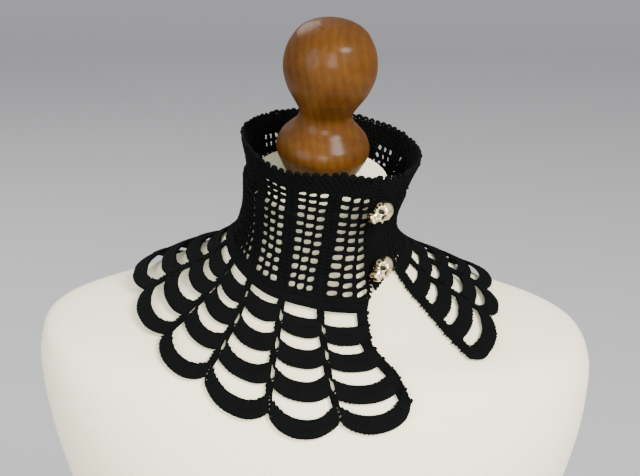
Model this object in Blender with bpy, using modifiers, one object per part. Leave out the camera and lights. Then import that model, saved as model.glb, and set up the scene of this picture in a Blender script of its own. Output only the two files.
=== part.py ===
"""Crocheted collar with a scalloped skirt, buttoned round the neck of a limbless dress form."""

import math

import bpy
import numpy as np
from mathutils import Matrix, Vector
from mathutils.bvhtree import BVHTree

# Sizes are in metres. The form faces -Y, +X is its left and +Z is up.
# Angles round the neck are in degrees from the form's front, growing towards its left.

# Dress form: one row for each section, from the flat base up to the neck cap. A section tilts down
# to the front and leans down to its left, in degrees.
FORM_COLUMNS = (
    "height", "tilt", "lean", "half_width", "front", "back", "centre_x", "centre_y", "squareness",
)
FORM_SECTIONS = (
    (0.0000, 0.0, 0.0, 0.1330, 0.0930, 0.0880, 0.0060, 0.000, 2.20),
    (0.0060, 0.0, 0.0, 0.1375, 0.0975, 0.0920, 0.0060, 0.000, 2.20),
    (0.0600, 0.0, 0.0, 0.1265, 0.0900, 0.0850, 0.0060, 0.000, 2.15),
    (0.1500, 0.0, 0.0, 0.1430, 0.1050, 0.0940, 0.0056, 0.000, 2.20),
    (0.2400, 0.0, 0.3, 0.1700, 0.1230, 0.1020, 0.0046, 0.000, 2.35),
    (0.3000, 0.0, 0.8, 0.1885, 0.1180, 0.1030, 0.0034, 0.000, 2.50),
    (0.3380, 2.0, 1.1, 0.1955, 0.1070, 0.1000, 0.0024, 0.000, 2.55),
    (0.3610, 5.0, 1.2, 0.1955, 0.0960, 0.0950, 0.0020, 0.000, 2.55),
    (0.3750, 8.0, 1.2, 0.1860, 0.0880, 0.0900, 0.0016, 0.000, 2.45),
    (0.3880, 12.0, 1.2, 0.1430, 0.0795, 0.0820, 0.0012, 0.000, 2.25),
    (0.4020, 16.0, 1.1, 0.1065, 0.0715, 0.0730, 0.0006, 0.001, 2.12),
    (0.4170, 19.0, 0.7, 0.0755, 0.0625, 0.0630, 0.0002, 0.002, 2.05),
    (0.4340, 19.0, 0.0, 0.0570, 0.0540, 0.0545, 0.0000, 0.002, 2.00),
    (0.4530, 17.0, 0.0, 0.0500, 0.0495, 0.0505, 0.0000, 0.000, 2.00),
    (0.4750, 15.0, 0.0, 0.0490, 0.0485, 0.0495, 0.0000, -0.003, 2.00),
    (0.4800, 15.0, 0.0, 0.0480, 0.0475, 0.0485, 0.0000, -0.004, 2.00),
)
FORM_RINGS_PER_SECTION = 2
FORM_SIDES = 36

# The neck cap slopes to the front, and the finial on it leans a little to the form's left.
NECK_TOP = Vector((0.0, -0.004, 0.480))
CAP_TILT = math.radians(15.0)
FINIAL_LEAN = math.radians(1.6)

# Collar's axis: the collar sits a little askew on the neck, with its rim towards the form's left.
COLLAR_FOOT = NECK_TOP + Vector((0.0, 0.0060, -0.0430))
RIM_CENTRE = NECK_TOP + Vector((0.0068, -0.0045, 0.0250))

# Turned wooden finial: radius at each height above the neck cap, through foot, bun, waist and ball.
FINIAL_COLUMNS = ("height", "radius")
FINIAL_SECTIONS = (
    (0.0000, 0.0233),
    (0.0060, 0.0249),
    (0.0140, 0.0290),
    (0.0230, 0.0325),
    (0.0310, 0.0306),
    (0.0370, 0.0257),
    (0.0420, 0.0212),
    (0.0470, 0.0188),
    (0.0520, 0.0187),
    (0.0570, 0.0211),
    (0.0620, 0.0241),
    (0.0680, 0.0277),
    (0.0750, 0.0305),
    (0.0830, 0.0322),
    (0.0910, 0.0319),
    (0.0980, 0.0303),
    (0.1040, 0.0275),
    (0.1090, 0.0243),
    (0.1130, 0.0190),
    (0.1158, 0.0115),
    (0.1172, 0.0000),
)
FINIAL_STEPS = 28
FINIAL_GAP = 0.0013

# Collar: rows are measured down the cloth from its rim, columns round it from the overlap's edge.
COLUMN_COUNT = 14
BAND_COLUMNS = ("depth", "radius")
BAND_PROFILE = (
    (-0.008, 0.0640),
    (0.000, 0.0612),
    (0.012, 0.0572),
    (0.028, 0.0527),
    (0.045, 0.0475),
    (0.062, 0.0470),
    (0.080, 0.0500),
    (0.100, 0.0560),
)
BAND_ROUNDING = 0.007
CLOTH_CLEARANCE = 0.0006
CHART_START = -0.008
CHART_DEPTH = 0.220
CHART_LENGTH = 0.204

# The cloth settles shorter over the shoulders than down the chest.
REACH_COLUMNS = ("angle", "band", "skirt")
REACH = (
    (-180.0, 0.88, 0.88),
    (-110.0, 0.88, 0.78),
    (-80.0, 0.90, 0.83),
    (-58.0, 0.94, 0.895),
    (-35.0, 0.99, 0.96),
    (-10.0, 1.00, 1.03),
    (12.0, 1.03, 0.985),
    (30.0, 1.03, 0.975),
    (50.0, 0.90, 0.96),
    (70.0, 0.86, 0.860),
    (90.0, 0.84, 0.775),
    (130.0, 0.86, 0.80),
    (180.0, 0.88, 0.88),
)

# The rim isn't level: how much further down the collar's axis it starts, fading down the cloth.
RIM_COLUMNS = ("angle", "drop")
RIM_DROPS = (
    (-180.0, 0.0000),
    (-150.0, 0.0010),
    (-104.0, 0.0012),
    (-75.0, 0.0030),
    (-52.0, 0.0060),
    (-35.0, 0.0058),
    (-25.0, 0.0045),
    (-12.0, 0.0015),
    (-3.0, -0.0015),
    (5.0, -0.0028),
    (14.0, -0.0018),
    (26.0, 0.0005),
    (45.0, 0.0028),
    (60.0, 0.0025),
    (92.0, 0.0012),
    (130.0, -0.0008),
    (180.0, 0.0000),
)
RIM_FADE = 0.030

# Beside the neck the stiff cloth bridges to the shoulders: how far up it stands off them.
STAND_OFF_COLUMNS = ("angle", "height")
STAND_OFF = (
    (-180.0, 0.0008),
    (-140.0, 0.0020),
    (-112.0, 0.0042),
    (-92.0, 0.0042),
    (-72.0, 0.0024),
    (-50.0, 0.0005),
    (-30.0, 0.0000),
    (55.0, 0.0000),
    (80.0, 0.0018),
    (105.0, 0.0030),
    (130.0, 0.0022),
    (155.0, 0.0010),
    (180.0, 0.0008),
)
STAND_OFF_START = 0.0950
STAND_OFF_RISE = 0.0300

# How far round the neck each line between columns stands, at each distance down the cloth.
# Line 0 is the overlap's front edge, line 14 is the underlap's, and lines 6 to 11 space evenly.
LINES_TABULATED = (0, 1, 2, 3, 4, 5, 12, 13, 14)
LINE_COLUMNS = ("down", "l0", "l1", "l2", "l3", "l4", "l5", "l12", "l13", "l14")
LINES = (
    (0.000, 24.5, 0.0, -30.5, -60.0, -82.0, -104.0, -266.0, -288.0, -308.0),
    (0.054, 33.0, 1.0, -29.5, -58.0, -80.0, -102.0, -262.0, -282.0, -302.0),
    (0.086, 33.5, -1.0, -27.0, -54.5, -77.5, -99.0, -261.0, -280.0, -300.5),
    (0.100, 28.5, 1.0, -23.5, -48.8, -70.5, -92.5, -263.0, -280.0, -300.0),
    (0.124, 25.2, 3.5, -19.8, -42.2, -63.8, -87.5, -267.0, -282.5, -301.2),
    (0.150, 29.4, 4.9, -17.2, -38.9, -60.0, -84.0, -270.0, -284.5, -304.5),
    (0.180, 30.4, 8.4, -14.4, -36.4, -56.5, -79.5, -273.0, -286.5, -307.2),
)
COLUMN_PAST_EDGE = 0.0340

# The overlap's front edge stands off the neck, so that the button band passes below it.
OVERLAP_LIFT = 0.0026
OVERLAP_COLUMNS = 1.0
OVERLAP_RISE = 0.40
OVERLAP_FADE = 0.014

# Neckband: solid borders and bars stand proud of the netted panels between them.
BAND_HEIGHT = 0.0910
TOP_BORDER = 0.0120
BOTTOM_BORDER = 0.0065
NET_ROWS_IN_SOLID = 5
NET_THICKNESS = 0.0013
BAND_THICKNESS = 0.0020
BAR_HALF_WIDTH = 0.0045
BAR_SLOPE = 0.0010

# Button band, crocheted plain, which starts at the underlap edge and passes below the overlap.
SEAM_GAP = 0.0003
BUTTON_BAND_WIDTH = 0.0300
BUTTON_BAND_THICKNESS = 0.0018

# Rim edging: a row of small shells along the top of the band.
SHELL_COUNT = 48
SHELL_HEIGHT = 0.0042
SHELL_FOOT = 0.0012
SHELL_THICKNESS = 0.0018

# Skirt: each column holds four arcs, measured down from the skirt's own top edge.
SKIRT_TOP = BAND_HEIGHT + 2.5 * SEAM_GAP
FOUNDATION = 0.0078
ARC_COLUMNS = ("upper_at_join", "upper_sag", "lower_at_join", "lower_sag")
ARCS = (
    (0.0137, 0.0018, 0.0248, 0.0047),
    (0.0325, 0.0063, 0.0463, 0.0062),
    (0.0540, 0.0088, 0.0692, 0.0068),
    (0.0755, 0.0118, 0.0888, 0.0112),
)
SAG_POWER = 2.4

# Worked by hand, the arcs don't lie equally far down in every column: how much lower each one is,
# and how much higher the lowest arc's near end is drawn up, the others in proportion.
SETTLED_COLUMNS = ("column", "first", "second", "third", "fourth", "near_rise")
SETTLED = (
    (0, 0.0030, 0.0008, 0.0010, -0.0018, 0.0042),
    (1, 0.0000, -0.0004, -0.0010, -0.0008, 0.0014),
    (2, -0.0028, -0.0030, -0.0018, -0.0008, 0.0016),
    (3, -0.0008, -0.0036, -0.0040, 0.0020, 0.0040),
    (4, 0.0000, -0.0026, -0.0020, 0.0000, 0.0040),
    (5, 0.0004, -0.0014, -0.0018, 0.0006, 0.0030),
    (6, 0.0000, 0.0000, 0.0000, 0.0000, 0.0012),
    (7, -0.0006, 0.0004, -0.0008, 0.0006, 0.0000),
    (8, 0.0008, -0.0010, 0.0006, -0.0006, 0.0006),
    (9, -0.0004, 0.0010, -0.0006, 0.0008, 0.0000),
    (10, 0.0006, 0.0004, 0.0010, 0.0000, 0.0004),
    (11, 0.0014, 0.0010, 0.0012, -0.0008, 0.0000),
    (12, 0.0030, 0.0022, 0.0018, -0.0010, 0.0000),
    (13, 0.0042, 0.0034, 0.0006, -0.0010, 0.0000),
)
ARC_RIM = 0.0024
ARC_STEPS = (0.0, 0.12, 0.34, 0.66, 0.88, 1.0)
JOIN_HALF_WIDTH = 0.0025
EDGE_WIDTH = 0.0075
SKIRT_THICKNESS = 0.0022
SKIRT_EDGE_SHARE = 0.70
SKIRT_HEM_LIFT = 0.0010

# Skull buttons, sewn to the button band by a shank.
BUTTON_COLUMNS = ("name", "from_edge", "down", "turn")
BUTTONS = (
    ("skull_button_upper", 0.0232, 0.0270, -65.0),
    ("skull_button_lower", 0.0210, 0.0750, -50.0),
)
SHANK_GAP = 0.0005
SHANK_RADIUS = 0.0018
SHANK_LENGTH = 0.0030
SKULL_CENTRE = Vector((0.0, 0.0025, 0.0062))
SKULL_RADII = Vector((0.0068, 0.0072, 0.0060))
JAW_CENTRE = Vector((0.0, -0.0060, 0.0056))
JAW_SIZE = Vector((0.0088, 0.0080, 0.0076))
JAW_ROUNDING = 0.0016
SOCKET_CENTRE = Vector((0.0028, -0.0004, 0.0118))
SOCKET_RADIUS = 0.0021
NOSE_CENTRE = Vector((0.0, -0.0036, 0.0114))
NOSE_RADIUS = 0.0010
MOUTH_SIZE = Vector((0.0120, 0.0006, 0.0012))
MOUTH_CENTRE = Vector((0.0, -0.0068, 0.0094))


def rows(columns, table):
    """The table's rows as dictionaries keyed by column name."""
    return [dict(zip(columns, row)) for row in table]


def smoothed(table, steps):
    """The rows of a number table with steps - 1 rows set between each two on a smooth curve."""
    values = np.array(table, float)
    padded = np.vstack((2 * values[0] - values[1], values, 2 * values[-1] - values[-2]))
    result = []
    for row in range(1, len(values)):
        before, start, end, after = padded[row - 1 : row + 3]
        for step in range(steps):
            t = step / steps
            bend = (2 * before - 5 * start + 4 * end - after) * t * t
            twist = (3 * start - before - 3 * end + after) * t * t * t
            result.append(0.5 * (2 * start + (end - before) * t + bend + twist))
    result.append(values[-1])
    return np.array(result)


def make_material(name, color, roughness, metallic=0.0):
    material = bpy.data.materials.new(name)
    material.use_nodes = True
    shader = material.node_tree.nodes["Principled BSDF"]
    shader.inputs["Base Color"].default_value = (*color, 1.0)
    shader.inputs["Roughness"].default_value = roughness
    shader.inputs["Metallic"].default_value = metallic
    material.diffuse_color = (*color, 1.0)
    return material


def add_object(name, mesh, collection, material):
    """A new object that holds the mesh, shaded smooth up to a 35 degree crease."""
    piece = bpy.data.objects.new(name, mesh)
    collection.objects.link(piece)
    mesh.materials.append(material)
    mesh.shade_smooth()
    mesh.set_sharp_from_angle(angle=math.radians(35.0))
    return piece


def superellipse(angle, row):
    """A point of a section before it is tilted: across, and to the front as a negative number."""
    power = 2.0 / row["squareness"]
    across = math.copysign(abs(math.cos(angle)) ** power, math.cos(angle))
    along = math.copysign(abs(math.sin(angle)) ** power, math.sin(angle))
    depth = row["front"] if along < 0 else row["back"]
    return row["half_width"] * across, depth * along


def form_rings():
    """The dress form's sections from the base up, each a closed ring of points."""
    rings = []
    for row in rows(FORM_COLUMNS, smoothed(FORM_SECTIONS, FORM_RINGS_PER_SECTION)):
        tilt, lean = math.radians(row["tilt"]), math.radians(row["lean"])
        ring = []
        for side in range(FORM_SIDES):
            x, y = superellipse(2 * math.pi * side / FORM_SIDES, row)
            height = row["height"] + y * math.sin(tilt) - x * math.sin(lean)
            ring.append(Vector((row["centre_x"] + x, row["centre_y"] + y * math.cos(tilt), height)))
        rings.append(ring)
    return rings


def form_mesh(rings):
    """A closed loft through the rings, with a flat base and a flat neck cap."""
    points = [point for ring in rings for point in ring]
    faces = []
    for low in range(len(rings) - 1):
        for side in range(FORM_SIDES):
            right = (side + 1) % FORM_SIDES
            lower, upper = low * FORM_SIDES, (low + 1) * FORM_SIDES
            faces.append((lower + side, lower + right, upper + right, upper + side))
    faces.append(tuple(reversed(range(FORM_SIDES))))
    faces.append(tuple(len(points) - FORM_SIDES + side for side in range(FORM_SIDES)))
    mesh = bpy.data.meshes.new("dress_form_body")
    mesh.from_pydata(points, [], faces)
    return mesh


def swollen_tree(mesh, margin):
    """The form moved out along its normals, for the cloth to lie on."""
    points = [vertex.co + vertex.normal * margin for vertex in mesh.vertices]
    return BVHTree.FromPolygons(points, [tuple(face.vertices) for face in mesh.polygons])


def collar_axis():
    return (RIM_CENTRE - COLLAR_FOOT).normalized()


def outward(angle):
    """The unit direction square to the collar's axis, at this angle from the form's front."""
    side = collar_axis().cross(Vector((0.0, -1.0, 0.0))).normalized()
    front = side.cross(collar_axis())
    return side * math.sin(angle) + front * math.cos(angle)


def smooth_step(value):
    value = np.clip(value, 0.0, 1.0)
    return value * value * (3.0 - 2.0 * value)


def overlap_lift(column, down):
    """How far the overlap's front edge stands off, over the button band."""
    over = (column > -0.5) & (column < OVERLAP_COLUMNS)
    across = smooth_step((OVERLAP_COLUMNS - column) / OVERLAP_RISE)
    fade = 1.0 - smooth_step((down - BAND_HEIGHT) / OVERLAP_FADE)
    return OVERLAP_LIFT * over * across * fade


class ClothChart:
    """Maps a column, a distance down the cloth and a lift off it to a point in space."""

    angle_step = math.radians(2.0)
    down_step = 0.002
    column_step = 1.0 / 16.0
    column_margin = 1.0

    def __init__(self, tree):
        self.tree = tree
        self.downs = np.arange(0.0, CHART_LENGTH, self.down_step)
        self.angles = np.arange(math.radians(-70.0), math.radians(400.0), self.angle_step)
        profiles = np.array([self.profile(angle) for angle in self.angles])
        last = COLUMN_COUNT + self.column_margin
        self.columns = np.arange(-self.column_margin, last + 1e-9, self.column_step)
        self.points = np.stack([self.row_points(profiles[:, j], j) for j in range(len(self.downs))], 1)
        along = np.gradient(self.points, axis=0)
        down = np.gradient(self.points, axis=1)
        normals = np.cross(along, down)
        self.normals = normals / np.linalg.norm(normals, axis=2, keepdims=True)

    def profile(self, angle):
        """Points down one side of the collar, evenly spaced along the cloth."""
        direction = outward(-angle)
        band = smoothed(BAND_PROFILE, 8)
        path = []
        depths = np.arange(CHART_START, CHART_DEPTH, 0.001)
        for depth in depths:
            centre = RIM_CENTRE - collar_axis() * depth
            _, _, _, body = self.tree.ray_cast(centre, direction)
            loose = float(np.interp(depth, band[:, 0], band[:, 1]))
            reach = loose
            if body is not None:
                spread = math.hypot(loose - body, BAND_ROUNDING)
                reach = 0.5 * (loose + body + spread)
            path.append(centre + direction * reach)
        path = np.array(path)
        around = math.remainder(-math.degrees(angle), 360.0)
        steps = np.linalg.norm(np.diff(path, axis=0), axis=1)
        lengths = np.concatenate(([0.0], np.cumsum(steps)))
        lengths -= np.interp(0.0, depths, lengths)
        stand_off = np.interp(around, *np.array(STAND_OFF).T)
        path[:, 2] += stand_off * smooth_step((lengths - STAND_OFF_START) / STAND_OFF_RISE)
        table = smoothed(REACH, 4)
        band_share, skirt_share = (np.interp(around, table[:, 0], table[:, i]) for i in (1, 2))
        past_band = np.maximum(0.0, lengths - BAND_HEIGHT * band_share)
        lengths = (lengths - past_band) / band_share + past_band / skirt_share
        drop = np.interp(around, *np.array(RIM_DROPS).T)
        wanted = self.downs + drop * (1.0 - smooth_step(self.downs / RIM_FADE))
        return np.stack([np.interp(wanted, lengths, path[:, axis]) for axis in range(3)], 1)

    def row_points(self, ring, j):
        """Points at each column along one row, with the columns equally wide between the edges."""
        table = np.array(LINES)
        turns = [np.interp(self.downs[j], table[:, 0], line) for line in table.T[1:]]
        steps = np.linalg.norm(np.diff(ring, axis=0), axis=1)
        lengths = np.concatenate(([0.0], np.cumsum(steps)))
        at_lines = np.interp(-np.radians(turns), self.angles, lengths)
        at_lines = [at_lines[0] - COLUMN_PAST_EDGE, *at_lines, at_lines[-1] + COLUMN_PAST_EDGE]
        wanted = np.interp(self.columns, (-1, *LINES_TABULATED, COLUMN_COUNT + 1), at_lines)
        return np.stack([np.interp(wanted, lengths, ring[:, axis]) for axis in range(3)], 1)

    def sample(self, grid, column, down):
        across = (np.asarray(column) + self.column_margin) / self.column_step
        below = np.asarray(down) / self.down_step
        i = np.clip(across.astype(int), 0, grid.shape[0] - 2)
        j = np.clip(below.astype(int), 0, grid.shape[1] - 2)
        a = (across - i)[:, None]
        b = (below - j)[:, None]
        upper = grid[i, j] * (1 - a) + grid[i + 1, j] * a
        lower = grid[i, j + 1] * (1 - a) + grid[i + 1, j + 1] * a
        return upper * (1 - b) + lower * b

    def place(self, column, down, lift):
        point = self.sample(self.points, column, down)
        normal = self.sample(self.normals, column, down)
        raised = np.asarray(lift) + overlap_lift(np.asarray(column), np.asarray(down))
        return point + normal * raised[:, None]

    def width(self, column, down):
        """How wide this column is at this distance down the cloth."""
        edges = np.linspace(column, column + 1.0, 9)
        path = self.sample(self.points, edges, np.full(9, down))
        return float(np.linalg.norm(np.diff(path, axis=0), axis=1).sum())


def cloth_piece(name, chart, corners, cells, thickness, shares, collection, material):
    """A wall of cloth: its inside is the sheet of cells, and its outside is raised by each share."""
    corners = np.array(corners)
    raised = corners[:, 2] + thickness * np.array(shares)
    inside = chart.place(corners[:, 0], corners[:, 1], corners[:, 2])
    outside = chart.place(corners[:, 0], corners[:, 1], raised)
    count = len(corners)
    faces = [tuple(reversed(cell)) for cell in cells]
    faces += [tuple(index + count for index in cell) for cell in cells]
    edges = {pair for cell in cells for pair in zip(cell, cell[1:] + cell[:1])}
    rims = sorted(pair for pair in edges if pair[::-1] not in edges)
    faces += [(end + count, start + count, start, end) for start, end in rims]
    mesh = bpy.data.meshes.new(name)
    mesh.from_pydata(np.vstack((inside, outside)).tolist(), [], faces)
    return add_object(name, mesh, collection, material)


def grid_cells(across, down):
    """Cells of a plain grid whose points run down each column of points in turn."""
    cells = []
    for i in range(across - 1):
        for j in range(down - 1):
            corner = i * down + j
            cells.append((corner, corner + down, corner + down + 1, corner + 1))
    return cells


def make_form(collection, material):
    mesh = form_mesh(form_rings())
    add_object("dress_form_body", mesh, collection, material)
    return mesh


def make_finial(collection, material):
    """A profile turned round the neck axis: foot, bun, waist and ball."""
    outline = [(0.0, 0.0), *((radius, height) for height, radius in FINIAL_SECTIONS)]
    points = [(radius, 0.0, height) for radius, height in reversed(outline)]
    mesh = bpy.data.meshes.new("neck_finial")
    mesh.from_pydata(points, [(i, i + 1) for i in range(len(points) - 1)], [])
    piece = bpy.data.objects.new("neck_finial", mesh)
    collection.objects.link(piece)
    mesh.materials.append(material)
    piece.rotation_euler = (CAP_TILT, FINIAL_LEAN, 0.0)
    piece.location = NECK_TOP + Vector((0.0, -math.sin(CAP_TILT), math.cos(CAP_TILT))) * FINIAL_GAP
    screw = piece.modifiers.new("turn", "SCREW")
    screw.axis = "Z"
    screw.steps = FINIAL_STEPS
    screw.render_steps = FINIAL_STEPS
    screw.use_merge_vertices = True
    screw.merge_threshold = 0.00001
    screw.use_smooth_shade = True
    return piece


def make_neckband(chart, collection, material):
    """A strip with raised borders and bars, and thinner panels where the net is."""
    downs = [0.0, TOP_BORDER - BAR_SLOPE, TOP_BORDER]
    net_end = BAND_HEIGHT - BOTTOM_BORDER
    for row in range(1, NET_ROWS_IN_SOLID):
        downs.append(TOP_BORDER + (net_end - TOP_BORDER) * row / NET_ROWS_IN_SOLID)
    downs += [net_end, net_end + BAR_SLOPE, BAND_HEIGHT]
    corners, shares = [], []
    net_share = NET_THICKNESS / BAND_THICKNESS
    for column in range(COLUMN_COUNT):
        for place in range(7):
            for down in downs:
                bar = BAR_HALF_WIDTH / chart.width(column, down)
                slope = bar + BAR_SLOPE / chart.width(column, down)
                share = (0.0, bar, slope, 0.38, 0.62, 1.0 - slope, 1.0 - bar)[place]
                in_net = 2 <= place <= 5 and TOP_BORDER <= down <= net_end
                corners.append((column + share, down, 0.0))
                shares.append(net_share if in_net else 1.0)
    for down in downs:
        corners.append((COLUMN_COUNT, down, 0.0))
        shares.append(1.0)
    cells = grid_cells(len(corners) // len(downs), len(downs))
    cloth_piece("neckband", chart, corners, cells, BAND_THICKNESS, shares, collection, material)


def make_rim_edging(chart, collection, material):
    """Shells that stand on the rim and on the button band's top, each over a shared foot."""
    corners, shares = [], []
    last = COLUMN_COUNT + BUTTON_BAND_WIDTH / COLUMN_PAST_EDGE
    for step in range(SHELL_COUNT * 2 + 1):
        column = last * step / (SHELL_COUNT * 2)
        rise = SHELL_HEIGHT if step % 2 else SHELL_FOOT
        corners += [(column, -SEAM_GAP - rise, 0.0), (column, -SEAM_GAP, 0.0)]
        shares += [0.75, 1.0]
    cells = grid_cells(SHELL_COUNT * 2 + 1, 2)
    cloth_piece("rim_edging", chart, corners, cells, SHELL_THICKNESS, shares, collection, material)


def make_button_band(chart, collection, material):
    """A plain strip that carries on from the underlap's edge to below the overlap."""
    downs = np.linspace(0.0, BAND_HEIGHT, 15)
    corners = []
    for across in np.linspace(SEAM_GAP, BUTTON_BAND_WIDTH, 7):
        corners += [(COLUMN_COUNT + across / COLUMN_PAST_EDGE, down, 0.0) for down in downs]
    cells = grid_cells(7, len(downs))
    shares = [1.0] * len(corners)
    thickness = BUTTON_BAND_THICKNESS
    cloth_piece("button_band", chart, corners, cells, thickness, shares, collection, material)


def skirt_downs(column, share):
    """Distances down the skirt of every line of points at this place across a column."""
    sag = 1.0 - abs(2.0 * share - 1.0) ** SAG_POWER
    downs = [0.0, FOUNDATION]
    *settled, near_rise = SETTLED[column][1:]
    for arc, lowered in zip(rows(ARC_COLUMNS, ARCS), settled):
        risen = near_rise * (1.0 - share) ** 2 * arc["upper_at_join"] / ARCS[-1][0]
        upper = arc["upper_at_join"] + arc["upper_sag"] * sag + lowered - risen
        lower = arc["lower_at_join"] + arc["lower_sag"] * sag + lowered - risen
        downs += [upper, upper + ARC_RIM, lower - ARC_RIM, lower]
    return downs


def is_cloth(line, row, last_line):
    """Whether the cell after this line across and this row down is worked, or is a gap."""
    lines = len(ARC_STEPS) + 1
    place = line % lines
    if row == 0:
        return True
    if (row - 1) % 4 == 0:
        return place in (0, lines - 1)
    before_join = place == lines - 1 and line < last_line - 1
    in_middle = (row - 1) % 4 == 2
    return not (before_join and in_middle)


def make_skirt(name, chart, first, last, collection, material):
    """Columns first to last of the skirt: a foundation row, joins, and four arcs in each column."""
    lines = len(ARC_STEPS) + 1
    row_count = 2 + 4 * len(ARCS)
    last_line = (last - first) * lines
    corners, shares, index = [], [], {}

    def corner(line, row):
        column, place = divmod(line, lines)
        if (line, row) not in index:
            column += first
            share = skirt_shares(chart, column, SKIRT_TOP + 0.5 * ARCS[-1][2])[place]
            down = SKIRT_TOP + skirt_downs(min(column, last - 1), share)[row]
            share = skirt_shares(chart, column, down)[place]
            seam = 0.5 * SEAM_GAP / chart.width(min(column, last - 1), down)
            share += seam * ((line == 0) - (line == last_line))
            lift = SKIRT_HEM_LIFT * max(0.0, (down - SKIRT_TOP) / ARCS[-1][2]) ** 2
            index[line, row] = len(corners)
            corners.append((column + share, down, lift))
            on_rim = row < 2 or (row - 2) % 4 in (0, 3)
            shares.append(SKIRT_EDGE_SHARE if on_rim else 1.0)
        return index[line, row]

    cells = []
    for line in range(last_line):
        for row in range(row_count - 1):
            if is_cloth(line, row, last_line):
                right, below = line + 1, row + 1
                places = ((line, row), (right, row), (right, below), (line, below))
                cells.append(tuple(corner(*place) for place in places))
    cloth_piece(name, chart, corners, cells, SKIRT_THICKNESS, shares, collection, material)


def skirt_shares(chart, column, down):
    """Where the lines of points stand across a column, at this distance down the cloth."""
    width = chart.width(column, down)
    start = (EDGE_WIDTH if column == 0 else JOIN_HALF_WIDTH) / width
    end = 1.0 - (EDGE_WIDTH if column == COLUMN_COUNT - 1 else JOIN_HALF_WIDTH) / width
    return [0.0, *(start + (end - start) * step for step in ARC_STEPS)]


def cutter(mesh_maker, centre, size, place, cutters):
    """A wire-drawn helper made by a primitive operator, at a place on the button."""
    mesh_maker()
    helper = bpy.context.object
    helper.data.transform(Matrix.Diagonal((*size, 1.0)))
    helper.data.transform(Matrix.Translation(centre))
    helper.matrix_world = place
    helper.display_type = "WIRE"
    helper.hide_render = True
    for holder in list(helper.users_collection):
        holder.objects.unlink(helper)
    cutters.objects.link(helper)
    return helper


def unit_ball():
    bpy.ops.mesh.primitive_uv_sphere_add(segments=14, ring_count=9, radius=1.0)


def unit_bead():
    bpy.ops.mesh.primitive_uv_sphere_add(segments=8, ring_count=6, radius=1.0)


def unit_box():
    bpy.ops.mesh.primitive_cube_add(size=1.0)


def unit_post():
    bpy.ops.mesh.primitive_cylinder_add(vertices=12, radius=1.0, depth=1.0)


def make_skull_button(row, chart, collection, cutters, material):
    """A cast skull on a shank: a ball and a rounded jaw, with sockets, nose and mouth cut in."""
    column = np.array([COLUMN_COUNT + row["from_edge"] / COLUMN_PAST_EDGE])
    down = np.array([row["down"]])
    foot = chart.place(column, down, np.array([BUTTON_BAND_THICKNESS + SHANK_GAP]))[0]
    normal = Vector(chart.sample(chart.normals, column, down)[0]).normalized()
    up = Vector((0.0, 0.0, 1.0)) - normal * normal.z
    facing = Matrix((up.cross(normal).normalized(), up.normalized(), normal)).transposed()
    turned = Matrix.Rotation(math.radians(row["turn"]), 4, "Z")
    place = Matrix.Translation(foot) @ facing.to_4x4() @ turned
    rise = Vector((0.0, 0.0, SHANK_LENGTH))
    head = cutter(unit_ball, SKULL_CENTRE + rise, SKULL_RADII, place, collection)
    head.name = row["name"]
    head.hide_render = False
    head.display_type = "TEXTURED"
    head.data.materials.append(material)
    jaw = cutter(unit_box, JAW_CENTRE + rise, JAW_SIZE, place, cutters)
    rounding = jaw.modifiers.new("rounding", "BEVEL")
    rounding.width = JAW_ROUNDING
    rounding.segments = 2
    shank_size = Vector((SHANK_RADIUS, SHANK_RADIUS, SHANK_LENGTH + 0.5 * SKULL_CENTRE.z))
    shank = cutter(unit_post, Vector((0.0, 0.0, 0.5 * shank_size.z)), shank_size, place, cutters)
    mirrored = Vector((-SOCKET_CENTRE.x, SOCKET_CENTRE.y, SOCKET_CENTRE.z))
    socket = Vector((SOCKET_RADIUS,) * 3)
    nose = Vector((NOSE_RADIUS,) * 3)
    joined = [jaw, shank]
    cut = [
        cutter(unit_bead, SOCKET_CENTRE + rise, socket, place, cutters),
        cutter(unit_bead, mirrored + rise, socket, place, cutters),
        cutter(unit_bead, NOSE_CENTRE + rise, nose, place, cutters),
        cutter(unit_box, MOUTH_CENTRE + rise, MOUTH_SIZE, place, cutters),
    ]
    for operation, helpers in (("UNION", joined), ("DIFFERENCE", cut)):
        for helper in helpers:
            boolean = head.modifiers.new(helper.name, "BOOLEAN")
            boolean.operation = operation
            boolean.object = helper
    head.data.shade_smooth()
    return head


def main():
    for old in list(bpy.data.objects):
        bpy.data.objects.remove(old)
    parts = bpy.data.collections.new("collar_on_dress_form")
    bpy.context.scene.collection.children.link(parts)
    cutters = bpy.data.collections.new("cutters")
    bpy.context.scene.collection.children.link(cutters)
    cotton = make_material("black_cotton", (0.012, 0.012, 0.013), 0.85)
    jersey = make_material("cream_jersey", (0.90, 0.87, 0.78), 0.80)
    wood = make_material("varnished_wood", (0.42, 0.20, 0.07), 0.30)
    form = make_form(parts, jersey)
    make_finial(parts, wood)
    chart = ClothChart(swollen_tree(form, CLOTH_CLEARANCE))
    make_neckband(chart, parts, cotton)
    make_rim_edging(chart, parts, cotton)
    make_button_band(chart, parts, cotton)
    half = COLUMN_COUNT // 2
    make_skirt("skirt_right", chart, 0, half, parts, cotton)
    make_skirt("skirt_left", chart, half, COLUMN_COUNT, parts, cotton)
    gold = make_material("polished_gold_metal", (0.80, 0.62, 0.33), 0.20, 1.0)
    for row in rows(BUTTON_COLUMNS, BUTTONS):
        make_skull_button(row, chart, parts, cutters, gold)
    for axis in (0, 1):
        reached = [vertex.co[axis] for vertex in form.vertices]
        middle = 0.5 * (min(reached) + max(reached))
        for piece in [*parts.objects, *cutters.objects]:
            piece.location[axis] -= middle


main()
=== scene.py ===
"""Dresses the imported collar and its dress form: cloth, stitches, turned wood, cast buttons and a stage."""

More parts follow.
